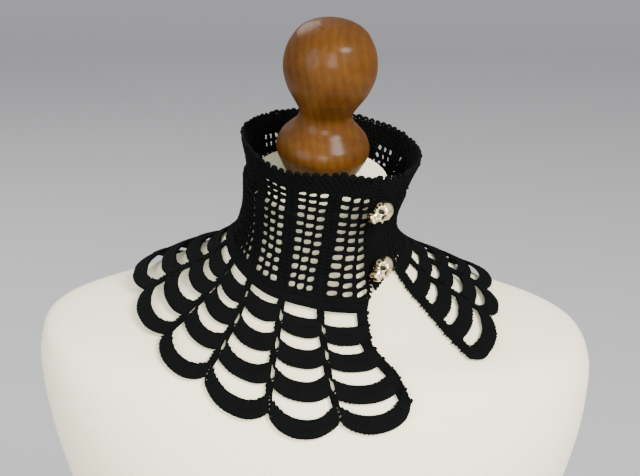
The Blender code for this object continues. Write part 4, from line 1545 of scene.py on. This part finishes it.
class MESH_OT_neckband(bpy.types.Operator):
    """Build the neckband: borders, bars and a net whose meshes are open"""

    bl_idname = "mesh.collar_neckband"
    bl_label = "Neckband"

    # Where the line of corners within a bar stands, from the bar's middle to the net beside it.
    bar_line = 0.55

    def execute(self, context):
        thickness = context.scene.collar.net_thickness
        chart = get_chart()
        sheet = ClothSheet()
        downs, first, last = net_lattice()
        halves = 2 * NET_MESHES_ACROSS
        per_column = halves + 4

        def across(line, down):
            column, place = divmod(line, per_column)
            if column == COLUMN_COUNT:
                return float(column)
            near, far = net_sides(chart, column, down)
            in_net = np.linspace(near, far, halves + 1)
            shares = (0.0, self.bar_line * near, *in_net, 1.0 - self.bar_line * (1.0 - far))
            return column + shares[place]

        def corner(line, row):
            on_edge = line in (0, per_column * COLUMN_COUNT) or row in (0, len(downs) - 1)
            share = BAND_EDGE_SHARE if on_edge else 1.0
            return sheet.corner((line, row), across(line, downs[row]), downs[row], 0.0, share)

        for column in range(COLUMN_COUNT):
            for place in range(per_column):
                line = column * per_column + place
                in_net = 2 <= place < 2 + halves
                for row in range(len(downs) - 1):
                    if in_net and first <= row < last:
                        if (place - 2) % 2 == 0 and (row - first) % 2 == 0:
                            self.mesh_of_net(sheet, corner, across, line, row, downs)
                        continue
                    sheet.cells.append(tuple(corner(line + a, row + b) for a, b in CELL))
        piece = sheet.build("neckband_net", chart, thickness, cotton_material())
        finish_piece(piece, "black_cotton", "neckband")
        return {"FINISHED"}

    def mesh_of_net(self, sheet, corner, across, line, row, downs):
        """One mesh of the net: eight cells round an oval opening, each mesh a little its own way."""
        around = ((0, 0), (1, 0), (2, 0), (2, 1), (2, 2), (1, 2), (0, 2), (0, 1))
        rim = []
        top, bottom = downs[row], downs[row + 2]
        middle = 0.5 * (top + bottom)
        left, right = across(line, middle), across(line + 2, middle)
        size, aside, lower = (scatter(line, row, seed) for seed in (0.0, 1.7, 4.1))
        opening = 1.0 + MESH_SIZE_SPREAD * size
        for step, (a, b) in enumerate(around):
            x, y = a - 1.0, b - 1.0
            if a != 1 and b != 1:
                x, y = MESH_CORNER * x, MESH_CORNER * y
            over = MESH_OPEN_ACROSS * opening * x + MESH_SIDE_SPREAD * aside
            under = MESH_OPEN_DOWN * opening * y + MESH_SLANT * (1.0 + lower) * x + MESH_DOWN_SPREAD * lower
            column = 0.5 * (left + right) + 0.5 * (right - left) * over
            down = middle + 0.5 * (bottom - top) * under
            rim.append(sheet.corner((line, row, step), column, down, 0.0, NET_RIM_SHARE))
        for step in range(8):
            following = (step + 1) % 8
            outer = [corner(line + a, row + b) for a, b in (around[step], around[following])]
            sheet.cells.append((*outer, rim[following], rim[step]))


def scatter(line, row, seed):
    """A number between -0.5 and 0.5 that looks random, and is the same each time for the same place."""
    return math.sin(line * 12.9898 + row * 78.233 + seed) * 43758.5453 % 1.0 - 0.5


class MESH_OT_rim_edging(bpy.types.Operator):
    """Build the row of picots along the rim"""

    bl_idname = "mesh.collar_rim_edging"
    bl_label = "Rim Edging"

    def execute(self, context):
        stitches = StitchRows()
        last = COLUMN_COUNT + BUTTON_BAND_WIDTH / COLUMN_PAST_EDGE
        for picot in range(PICOT_COUNT):
            stitches.add("picot", last * (picot + 0.5) / PICOT_COUNT, 0.0, PICOT_LIFT, 0.0)
        points = stitches.points_object("rim_picots", get_chart())
        raise_points(points, -0.5 * context.scene.collar.picot_height + PICOT_FOOT)
        values = {"Cord Radius": PICOT_CORD, "Material": cotton_material()}
        picots = baked("rim_picots", points, picot_tree(), values)
        finish_piece(picots, "black_cotton", "rim_edging")
        return {"FINISHED"}


def raise_points(points, along):
    """Moves each point of a stitch cloud along its own stitch."""
    mesh = points.data
    count = len(mesh.vertices)
    places, directions = np.empty(count * 3), np.empty(count * 3, np.float32)
    mesh.vertices.foreach_get("co", places)
    mesh.attributes["along"].data.foreach_get("vector", directions)
    mesh.vertices.foreach_set("co", places + along * directions)


class MESH_OT_band_stitches(bpy.types.Operator):
    """Work the stitches of the neckband's borders, bars and net, outside and on the open rim's inside"""

    bl_idname = "mesh.collar_band_stitches"
    bl_label = "Neckband Stitches"

    def execute(self, context):
        thickness = context.scene.collar.net_thickness
        outer = self.rows_of_band(context, thickness + BAND_STITCH_LIFT, BAND_HEIGHT)
        work_stitches("neckband_stitches", outer)
        inner = self.rows_of_band(context, -BAND_STITCH_LIFT, INSIDE_SHOWS_TO)
        work_stitches("neckband_inner_stitches", inner, inside=True)
        return {"FINISHED"}

    def rows_of_band(self, context, lift, lowest):
        """The stitches of borders, bars and net, down to the lowest place that shows."""
        settings = context.scene.stitches
        chart = get_chart()
        stitches = StitchRows(lowest)
        self.border_rows(stitches, chart, settings.pitch, settings.row_pitch, lift)
        self.bar_rows(stitches, chart, settings.row_pitch, lift)
        self.net_rows(stitches, chart, lift)
        return stitches

    def border_rows(self, stitches, chart, pitch, row_pitch, lift):
        length = sum(chart.width(column, 0.0) for column in range(COLUMN_COUNT))
        per_row = round(length / pitch)
        borders = [BORDER_START + row_pitch * row for row in range(BORDER_ROWS)]
        borders.append(BAND_HEIGHT - 0.5 * BOTTOM_BORDER)
        for row, down in enumerate(borders):
            for step in range(per_row):
                column = COLUMN_COUNT * (step + 0.25 + 0.5 * (row % 2)) / per_row
                stitches.add("border", column, down, lift, 90.0)

    def bar_rows(self, stitches, chart, row_pitch, lift):
        downs, first, last = net_lattice()
        count = round((downs[last] - downs[first]) / row_pitch)
        for column in range(COLUMN_COUNT + 1):
            offset = BAR_ROW_OFFSET if column else FRONT_BAR_ROW_OFFSET
            for row in range(count):
                down = downs[first] + (downs[last] - downs[first]) * (row + 0.5) / count
                for side in (-1.0, 1.0):
                    width = chart.width(min(column, COLUMN_COUNT - 1), down)
                    place = column + side * offset / width
                    if 0.0 < place < COLUMN_COUNT:
                        stitches.add("bar", place, down, lift, 0.0)

    def net_rows(self, stitches, chart, lift):
        downs, first, last = net_lattice()
        for column in range(COLUMN_COUNT):
            for row in range(first, last, 2):
                middle = 0.5 * (downs[row] + downs[row + 2])
                near, far = net_sides(chart, column, middle)
                for mesh in range(1, NET_MESHES_ACROSS):
                    place = column + near + (far - near) * mesh / NET_MESHES_ACROSS
                    stitches.add("net_post", place, middle, lift, 0.0)
                for mesh in range(NET_MESHES_ACROSS):
                    place = column + near + (far - near) * (mesh + 0.5) / NET_MESHES_ACROSS
                    if row > first:
                        stitches.add("net_bar", place, downs[row], lift, 90.0)


def band_column(across, down):
    """The chart's column this far across the button band, which narrows a little below its top."""
    tuck = BUTTON_BAND_TUCK * float(smooth_step(down / TUCK_FADE))
    return COLUMN_COUNT + across * (1.0 - tuck / BUTTON_BAND_WIDTH) / COLUMN_PAST_EDGE


class MESH_OT_button_band(bpy.types.Operator):
    """Build the plain button band, which passes below the overlap, and its stitches"""

    bl_idname = "mesh.collar_button_band"
    bl_label = "Button Band"

    cells_down = 36
    cells_across = 12
    edge_share = 0.6
    stitch_column = 0.0037

    def execute(self, context):
        thickness = context.scene.collar.button_band_thickness
        self.wall(thickness)
        self.stitches(context.scene.stitches.row_pitch, thickness - BUTTON_BAND_SINK)
        return {"FINISHED"}

    def wall(self, thickness):
        sheet = ClothSheet()
        downs = np.linspace(0.0, BAND_HEIGHT, self.cells_down + 1)
        lines = np.linspace(SEAM_GAP, BUTTON_BAND_WIDTH, self.cells_across + 1)
        for line in range(self.cells_across):
            for row in range(self.cells_down):
                cell = []
                for a, b in CELL:
                    key = (line + a, row + b)
                    on_edge = key[0] in (0, self.cells_across) or key[1] in (0, self.cells_down)
                    down = downs[key[1]]
                    share = self.edge_share if on_edge else 1.0
                    cell.append(sheet.corner(key, band_column(lines[key[0]], down), down, 0.0, share))
                sheet.cells.append(tuple(cell))
        piece = sheet.build("button_band_cloth", get_chart(), thickness, cotton_material())
        finish_piece(piece, "black_cotton", "button_band")

    def stitches(self, row_pitch, lift):
        stitches = StitchRows()
        columns = round(BUTTON_BAND_WIDTH / self.stitch_column)
        band_rows = round(BAND_HEIGHT / row_pitch)
        for line in range(columns):
            for row in range(band_rows):
                down = BAND_HEIGHT * (row + 0.5) / band_rows
                column = band_column(BUTTON_BAND_WIDTH * (line + 0.5) / columns, down)
                stitches.add("button_band", column, down, lift, 0.0)
        work_stitches("button_band_stitches", stitches)


def skirt_shares(chart, column, down, steps):
    """Where the lines of points stand across a column, at this distance down the cloth."""
    width = chart.width(column, down)
    start = (EDGE_WIDTH if column == 0 else JOIN_HALF_WIDTH) / width
    end = 1.0 - (EDGE_WIDTH if column == COLUMN_COUNT - 1 else JOIN_HALF_WIDTH) / width
    return [0.0, 0.5 * start, *np.linspace(start, end, steps + 1), 0.5 * (1.0 + end)]


def arc_edges(column, number, share):
    """The upper and lower edge of a column's arc at this share of its width, below the skirt's top."""
    arc = dict(zip(ARC_COLUMNS, ARCS[number]))
    settled = dict(zip(SETTLED_COLUMNS, SETTLED[column]))
    sag = 1.0 - abs(2.0 * share - 1.0) ** SAG_POWER
    drawn_up = settled["near_rise"] * (1.0 - share) ** 2 * arc["upper_at_join"] / ARCS[-1][0]
    shift = settled[SETTLED_COLUMNS[number + 1]] - drawn_up
    upper = arc["upper_at_join"] + arc["upper_sag"] * sag + shift
    lower = arc["lower_at_join"] + arc["lower_sag"] * sag + shift
    return upper, lower


def skirt_lift(down):
    """The hem stands a little further off the form than the skirt's top."""
    return SKIRT_HEM_LIFT * max(0.0, (down - SKIRT_TOP) / ARCS[-1][2]) ** 2


class MESH_OT_skirt(bpy.types.Operator):
    """Build both halves of the skirt, with their arcs, joins and eyelets, and their stitches"""

    bl_idname = "mesh.collar_skirt"
    bl_label = "Skirt"

    # Lines across and down, and the shares of the thickness that the edges and their bevels have.
    arc_steps = 16
    lines_per_arc = 7
    foundation_edge_share = 0.7
    side_edge_share = 0.8
    arc_edge_share = 0.55
    bevel_place = 0.35
    bevel_share = 0.88

    # Stitches: the fewest posts in an arc, and how far along a column a slope and an eyelet are taken.
    fewest_posts = 5
    slope_reach = 0.02
    eyelet_place = 0.97

    def execute(self, context):
        half = COLUMN_COUNT // 2
        for name, first, last in (("skirt_right", 0, half), ("skirt_left", half, COLUMN_COUNT)):
            self.wall(context, name, first, last)
            self.stitches(context, name, first, last)
        return {"FINISHED"}

    def downs(self, column, share):
        """Distances down of every line of points, and the share of the thickness that each has."""
        edge_share, bevel = self.foundation_edge_share, self.bevel_place * ARC_RIM
        result = [(0.0, edge_share), (0.5 * FOUNDATION, 1.0), (FOUNDATION, edge_share)]
        for number in range(len(ARCS)):
            upper, lower = arc_edges(column, number, share)
            result += [
                (upper, self.arc_edge_share),
                (upper + bevel, self.bevel_share),
                (upper + ARC_RIM, 1.0),
                (0.5 * (upper + lower), 1.0),
                (lower - ARC_RIM, 1.0),
                (lower - bevel, self.bevel_share),
                (lower, self.arc_edge_share),
            ]
        return result

    def is_cloth(self, line, row, end_line, per_column):
        """Whether the cell after this line across and this row down is worked, or is a gap."""
        place = line % per_column
        after_join, before_join = place < 2, place >= per_column - 2
        part = (row - 2) % self.lines_per_arc
        if row >= 2 and part == 0:
            return after_join or before_join
        at_eyelet = row >= 2 and 3 <= part <= 4
        return not (at_eyelet and before_join and line < end_line - 2)

    def wall(self, context, name, first, last):
        settings = context.scene.collar
        chart = get_chart()
        sheet = ClothSheet()
        steps = self.arc_steps
        per_column = steps + 4
        row_count = 3 + self.lines_per_arc * len(ARCS)
        end_line = (last - first) * per_column

        def corner(line, row):
            column, place = divmod(line, per_column)
            column += first
            if column == last:
                column, place = last - 1, per_column
            guess = skirt_shares(chart, column, SKIRT_TOP + 0.5 * ARCS[-1][2], steps) + [1.0]
            down, thickness_share = self.downs(column, guess[place])[row]
            down += SKIRT_TOP
            shares = skirt_shares(chart, column, down, steps) + [1.0]
            seam = 0.5 * SEAM_GAP / chart.width(column, down)
            share = shares[place] + seam * ((line == 0) - (line == end_line))
            if line in (0, end_line):
                thickness_share = min(thickness_share, self.side_edge_share)
            return sheet.corner((line, row), column + share, down, skirt_lift(down), thickness_share)

        for line in range(end_line):
            for row in range(row_count - 1):
                if self.is_cloth(line, row, end_line, per_column):
                    sheet.cells.append(tuple(corner(line + a, row + b) for a, b in CELL))
        piece = sheet.build(f"{name}_arcs", chart, settings.skirt_thickness, cotton_material())
        finish_piece(piece, "black_cotton", name)

    def stitches(self, context, name, first, last):
        settings = context.scene.stitches
        chart = get_chart()
        stitches = StitchRows()
        raised = context.scene.collar.skirt_thickness - SKIRT_SINK
        for column in range(first, last):
            self.foundation_stitches(stitches, chart, settings.pitch, column, raised)
            for number in range(len(ARCS)):
                self.arc_stitches(stitches, chart, settings.pitch, column, number, raised)
            self.join_stitches(stitches, chart, settings.row_pitch, column, column < last - 1, raised)
        work_stitches(f"{name}_stitches", stitches)

    def foundation_stitches(self, stitches, chart, pitch, column, raised):
        """Rows across the skirt's top, the first of them over its seam to the neckband."""
        count = round(chart.width(column, SKIRT_TOP) / pitch)
        for number, row in enumerate(rows(FOUNDATION_COLUMNS, FOUNDATION_ROWS)):
            for step in range(count):
                place = column + (step + 0.5 + 0.5 * (number % 2)) / count
                stitches.add(row["kind"], place, SKIRT_TOP + row["down"], raised, 90.0)

    def arc_stitches(self, stitches, chart, pitch, column, number, raised):
        """Posts side by side, knobs and a row at their feet, and a row along the arc's upper edge."""
        middle = SKIRT_TOP + 0.5 * sum(arc_edges(column, number, 0.5))
        _, _, start, end, _ = skirt_shares(chart, column, middle, 1)
        width = chart.width(column, middle)
        count = max(self.fewest_posts, round(width * (end - start) * POSTS_IN_A_PITCH / pitch))
        for step in range(count):
            share = start + (end - start) * (step + 0.5) / count
            upper, lower = (SKIRT_TOP + edge for edge in arc_edges(column, number, share))
            upper_turn, lower_turn = self.edge_turns(column, number, share, width)
            place = column + share
            lift = raised + skirt_lift(0.5 * (upper + lower))
            stitches.add("arc_top", place, upper + ARC_TOP_DEPTHS[step % 2], lift, upper_turn)
            centre = 0.5 * (upper + lower)
            stitches.add("arc_post", place, centre, lift, lower_turn - 90.0, stretch=lower - upper)
            stitches.add("arc_foot", place, lower - ARC_FOOT_RISE, lift, lower_turn)
            for knob in rows(KNOB_COLUMNS, KNOBS):
                aside = place + knob["aside"] * (end - start) / count
                sunk = lift - knob["sunk"]
                stitches.add("arc_knob", aside, lower - KNOB_RISE, sunk, lower_turn - 90.0)

    def edge_turns(self, column, number, share, width):
        """The turn of a stitch that lies along an arc's upper edge, and along its lower edge."""
        near = self.slope_reach
        ahead, behind = (arc_edges(column, number, share + side * near) for side in (1, -1))
        slopes = (math.atan2(b - a, 2 * near * width) for a, b in zip(behind, ahead))
        return [90.0 - math.degrees(slope) for slope in slopes]

    def join_stitches(self, stitches, chart, row_pitch, column, has_eyelets, raised):
        """Rows down the strips at both sides of a column, past the eyelets before the next join."""
        for side in (1, -1):
            line = column if side > 0 else column + 1
            at_front = line in (0, COLUMN_COUNT)
            bottom = arc_edges(column, len(ARCS) - 1, float(line - column))[1]
            count = round((bottom - FOUNDATION) / row_pitch)
            for step in range(count):
                below = FOUNDATION + (bottom - FOUNDATION) * (step + 0.5) / count
                if side < 0 and has_eyelets and self.in_eyelet(column, below):
                    continue
                down = SKIRT_TOP + below
                width = chart.width(min(line, COLUMN_COUNT - 1), down)
                lift = raised + skirt_lift(down)
                for offset in FRONT_EDGE_ROWS if at_front else JOIN_ROWS:
                    stitches.add("join", line + side * offset / width, down, lift, 0.0)
                if at_front:
                    bold = step % BOLD_KNOB_STEP == 0
                    place = line + side * (0.0 if bold else FRONT_KNOB_INSET) / width
                    kind = "front_edge_bold" if bold else "front_edge"
                    stitches.add(kind, place, down, lift - FRONT_KNOB_SINK, 90.0)

    def in_eyelet(self, column, below):
        """Whether this is at an eyelet that the stitches leave open; the lowest arc's is drawn shut."""
        edges = [arc_edges(column, number, self.eyelet_place) for number in range(len(ARCS) - 1)]
        return any(upper + 0.5 * ARC_RIM < below < lower - 0.5 * ARC_RIM for upper, lower in edges)


# Skull buttons: distances in millimetres from the casting's surface, negative inside it


def ball_distance(points, centre, radii):
    scaled = np.linalg.norm((points - centre) / radii, axis=-1)
    return (scaled - 1.0) * min(radii)


def box_distance(points, centre, half, rounding):
    beyond = np.abs(points - centre) - (np.array(half) - rounding)
    outside = np.linalg.norm(np.maximum(beyond, 0.0), axis=-1)
    return outside + np.minimum(beyond.max(axis=-1), 0.0) - rounding


def joined(first, second, softness):
    share = np.clip(0.5 + 0.5 * (second - first) / softness, 0.0, 1.0)
    return second * (1 - share) + first * share - softness * share * (1 - share)


def carved(first, second, softness):
    return -joined(-first, second, softness)


def row_distance(points, row):
    return ball_distance(points, (row["across"], row["up"], row["out"]), row["radii"])


def skull_body(points):
    """Distance from the uncarved casting: cranium, brow, cheeks and jaw."""
    body = ball_distance(points, CRANIUM_CENTRE, CRANIUM_RADII)
    for row in rows(BALL_COLUMNS, SWELLS):
        body = joined(body, row_distance(points, row), row["softness"])
    jaw = box_distance(points, JAW_CENTRE, JAW_HALF, JAW_ROUNDING)
    return joined(body, jaw, JAW_SOFTNESS)


def skull_distance(points):
    """Distance from the carved casting: its hollows, and the gaps and the bite of its teeth."""
    body = skull_body(points)
    x, y, z = points[..., 0], points[..., 1], points[..., 2]
    for row in rows(BALL_COLUMNS, HOLLOWS):
        body = carved(body, row_distance(points, row), row["softness"])
    in_teeth = smooth_step((TEETH_TOP - y) / TEETH_TOP_FADE)
    in_teeth *= smooth_step((y - TEETH_BOTTOM) / TEETH_BOTTOM_FADE)
    in_teeth *= smooth_step((z - TEETH_FRONT) / TEETH_FRONT_FADE)
    between = np.maximum(0.0, np.cos(2 * math.pi * x / TOOTH_WIDTH)) ** 8
    bite = np.exp(-(((y - BITE_HEIGHT) / BITE_HALF_WIDTH) ** 2))
    bite *= smooth_step((z - BITE_FRONT) / BITE_FRONT_FADE)
    return body + TEETH_DEPTH * in_teeth * between + BITE_DEPTH * bite


def reach_of(distance, origin, directions, farthest):
    """How far along each direction the outermost surface lies."""
    steps = np.linspace(0.0, farthest, 150)
    samples = origin + directions[:, None, :] * steps[None, :, None]
    inside = distance(samples) < 0.0
    last = inside.shape[1] - 1 - np.argmax(inside[:, ::-1], axis=1)
    low = steps[last]
    high = steps[np.minimum(last + 1, len(steps) - 1)]
    for _ in range(12):
        middle = 0.5 * (low + high)
        within = distance(origin + directions * middle[:, None]) < 0.0
        low, high = np.where(within, middle, low), np.where(within, high, middle)
    return 0.5 * (low + high)


class MESH_OT_skull_buttons(bpy.types.Operator):
    """Cast the two skull buttons on their shanks"""

    bl_idname = "mesh.collar_skull_buttons"
    bl_label = "Skull Buttons"

    def execute(self, context):
        settings = context.scene.buttons
        rings, poles, recess = self.cast(settings.rings, settings.sides)
        for row in rows(BUTTON_COLUMNS, BUTTONS):
            name = row["name"] + "_cast"
            mesh = loft(name, rings, poles)
            set_attribute(mesh, "recess", "FLOAT", recess)
            mesh.transform(Matrix.Rotation(math.radians(row["turn"]), 4, "Z"))
            add_shank(mesh)
            mesh.transform(self.seat(row))
            piece = add_object(name, mesh, gold_material())
            finish_piece(piece, "gold_metal", row["name"])
        return {"FINISHED"}

    def cast(self, ring_count, sides):
        """Rings of points round the skull and its two ends, in metres, and how hollow each point is."""
        origin = np.array(SKULL_HEART)
        heights = np.linspace(0.0, math.pi, ring_count + 2)[1:-1]
        height = np.repeat(heights, sides)
        turn = np.tile(np.arange(sides) * 2 * math.pi / sides, ring_count)
        directions = np.stack(
            (np.sin(height) * np.cos(turn), -np.cos(height), -np.sin(height) * np.sin(turn)), 1
        )
        directions = np.vstack((directions, ((0.0, -1.0, 0.0), (0.0, 1.0, 0.0))))
        reach = reach_of(skull_distance, origin, directions, SKULL_REACH)
        uncarved = reach_of(skull_body, origin, directions, SKULL_REACH)
        # How deep each point lies in a hollow; the material darkens it there with tarnish and painted shade.
        recess = smooth_step((uncarved - reach - TARNISH_AND_SHADE_START) / TARNISH_AND_SHADE_DEPTH)
        points = (origin + directions * reach[:, None]) * MILLIMETRE
        return points[:-2].reshape(ring_count, sides, 3), points[-2:], recess

    def seat(self, row):
        """Where a button stands on its band: its foot, its top upwards and its face outwards."""
        chart = get_chart()
        column = np.array([COLUMN_COUNT + row["from_edge"] / COLUMN_PAST_EDGE])
        down = np.array([row["down"]])
        foot = chart.place(column, down, np.array([CAD_BUTTON_BAND_THICKNESS + SHANK_GAP]))[0]
        normal = Vector(chart.sample(chart.normals, column, down)[0]).normalized()
        up = Vector((0.0, 0.0, 1.0)) - normal * normal.z
        facing = Matrix((up.cross(normal).normalized(), up.normalized(), normal)).transposed()
        return Matrix.Translation(foot) @ facing.to_4x4()


def add_shank(mesh):
    """A short post behind the casting, down to the cloth."""
    shape = bmesh.new()
    shape.from_mesh(mesh)
    length = SHANK_LENGTH + SHANK_OVERLAP
    bmesh.ops.create_cone(
        shape,
        cap_ends=True,
        segments=20,
        radius1=SHANK_RADIUS,
        radius2=SHANK_RADIUS,
        depth=length,
        matrix=Matrix.Translation((0.0, 0.0, 0.5 * length)),
    )
    shape.to_mesh(mesh)
    shape.free()


def look_at(place, aim):
    direction = Vector(aim) - Vector(place)
    return Matrix.Translation(place) @ direction.to_track_quat("-Z", "Y").to_matrix().to_4x4()


class SCENE_OT_stage(bpy.types.Operator):
    """Set the floor with its backdrop, the lights and the camera"""

    bl_idname = "scene.collar_stage"
    bl_label = "Stage"

    bend_steps = 16

    def execute(self, context):
        self.floor(context)
        self.lights(context)
        self.camera(context)
        return {"FINISHED"}

    def floor(self, context):
        flat_end = BACKDROP_DEPTH - BACKDROP_BEND
        profile = [(FLOOR_FRONT, 0.0), (flat_end, 0.0)]
        for step in range(1, self.bend_steps):
            angle = math.radians(90.0 * step / self.bend_steps)
            along, up = BACKDROP_BEND * math.sin(angle), BACKDROP_BEND * (1.0 - math.cos(angle))
            profile.append((flat_end + along, up))
        profile += [(BACKDROP_DEPTH, BACKDROP_BEND), (BACKDROP_DEPTH, BACKDROP_RISE)]
        sides = (-BACKDROP_HALF_WIDTH, BACKDROP_HALF_WIDTH)
        points = [(x, y, z) for y, z in profile for x in sides]
        faces = [(2 * i, 2 * i + 1, 2 * i + 3, 2 * i + 2) for i in range(len(profile) - 1)]
        mesh = bpy.data.meshes.new("stage_backdrop")
        mesh.from_pydata(points, [], faces)
        material, tree, shader, place = new_material("stage_paper")
        color = context.scene.stage.floor_color
        dim = tuple(0.97 * value for value in color)
        grain = noise(tree, place, Scale=60.0, Detail=3.0)
        paper = mix_colors(tree, grain, (*color, 1.0), (*dim, 1.0))
        feed_all(tree, shader, Base_Color=paper, Roughness=0.9, Specular_IOR_Level=0.1)
        add_object("stage_backdrop", mesh, material)

    def lights(self, context):
        for row in rows(LIGHT_COLUMNS, LIGHTS):
            light = bpy.data.lights.new(row["name"], "AREA")
            light.shape = "DISK"
            light.size = row["size"]
            light.energy = row["power"]
            light.color = row["color"]
            holder = bpy.data.objects.new(row["name"], light)
            holder.matrix_world = look_at(row["place"], row["aim"])
            context.scene.collection.objects.link(holder)
        world = bpy.data.worlds.new("soft_studio")
        world.use_nodes = True
        sky = world.node_tree.nodes["Background"]
        sky.inputs["Color"].default_value = (0.97, 0.98, 1.0, 1.0)
        sky.inputs["Strength"].default_value = context.scene.stage.world_strength
        context.scene.world = world

    def camera(self, context):
        toward = Vector(
            (
                math.sin(CAMERA_TURN) * math.cos(CAMERA_RISE),
                -math.cos(CAMERA_TURN) * math.cos(CAMERA_RISE),
                math.sin(CAMERA_RISE),
            )
        )
        level = Vector((math.cos(CAMERA_TURN), math.sin(CAMERA_TURN), 0.0))
        upright = toward.cross(level)
        right = level * math.cos(CAMERA_ROLL) + upright * math.sin(CAMERA_ROLL)
        up = upright * math.cos(CAMERA_ROLL) - level * math.sin(CAMERA_ROLL)
        focal_pixels = CAMERA_DISTANCE / METRES_PER_PIXEL
        x = (TARGET_PIXEL[0] - 0.5 * IMAGE_SIZE[0]) / focal_pixels
        y = -(TARGET_PIXEL[1] - 0.5 * IMAGE_SIZE[1]) / focal_pixels
        target = NECK_TOP + Vector(FRAME_SHIFT)
        place = target - (right * x + up * y - toward) * CAMERA_DISTANCE
        camera = bpy.data.cameras.new("photo_camera")
        camera.sensor_width = SENSOR_WIDTH
        camera.lens = SENSOR_WIDTH * focal_pixels / IMAGE_SIZE[0]
        camera.clip_start = 0.05
        holder = bpy.data.objects.new("photo_camera", camera)
        matrix = Matrix((right, up, toward)).transposed().to_4x4()
        matrix.translation = place
        holder.matrix_world = matrix
        context.scene.collection.objects.link(holder)
        context.scene.camera = holder


class VIEW3D_PT_collar(bpy.types.Panel):
    """Settings and buttons for every piece"""

    bl_label = "Crochet Collar"
    bl_idname = "VIEW3D_PT_crochet_collar"
    bl_space_type = "VIEW_3D"
    bl_region_type = "UI"
    bl_category = "Collar"

    def draw(self, context):
        for name, _ in SETTINGS:
            box = self.layout.box()
            group = getattr(context.scene, name)
            for field in group.__annotations__:
                box.prop(group, field)
        for operator in OPERATORS:
            self.layout.operator(operator.bl_idname)


SETTINGS = (
    ("dress_form", DressFormSettings),
    ("finial", FinialSettings),
    ("collar", CollarSettings),
    ("stitches", StitchSettings),
    ("buttons", ButtonSettings),
    ("stage", StageSettings),
)
OPERATORS = (
    SCENE_OT_stage,
    MESH_OT_dress_form,
    MESH_OT_finial,
    MESH_OT_neckband,
    MESH_OT_band_stitches,
    MESH_OT_rim_edging,
    MESH_OT_button_band,
    MESH_OT_skirt,
    MESH_OT_skull_buttons,
)


def register():
    for name, settings in SETTINGS:
        bpy.utils.register_class(settings)
        setattr(bpy.types.Scene, name, PointerProperty(type=settings))
    for operator in OPERATORS:
        bpy.utils.register_class(operator)
    bpy.utils.register_class(VIEW3D_PT_collar)


def unregister():
    bpy.utils.unregister_class(VIEW3D_PT_collar)
    for operator in reversed(OPERATORS):
        bpy.utils.unregister_class(operator)
    for name, settings in reversed(SETTINGS):
        delattr(bpy.types.Scene, name)
        bpy.utils.unregister_class(settings)


def declare_cloth():
    """Looks up each piece that is worked onto a piece of cloth."""
    for row in rows(SHEET_COLUMNS, SHEETS):
        [made[name] for name in row["worked_on"]]


def main():
    register()
    bpy.ops.scene.collar_stage()
    bpy.ops.mesh.collar_dress_form()
    bpy.ops.mesh.collar_finial()
    bpy.ops.mesh.collar_neckband()
    bpy.ops.mesh.collar_band_stitches()
    bpy.ops.mesh.collar_rim_edging()
    bpy.ops.mesh.collar_button_band()
    bpy.ops.mesh.collar_skirt()
    bpy.ops.mesh.collar_skull_buttons()
    declare_cloth()


if __name__ == "__main__":
    main()
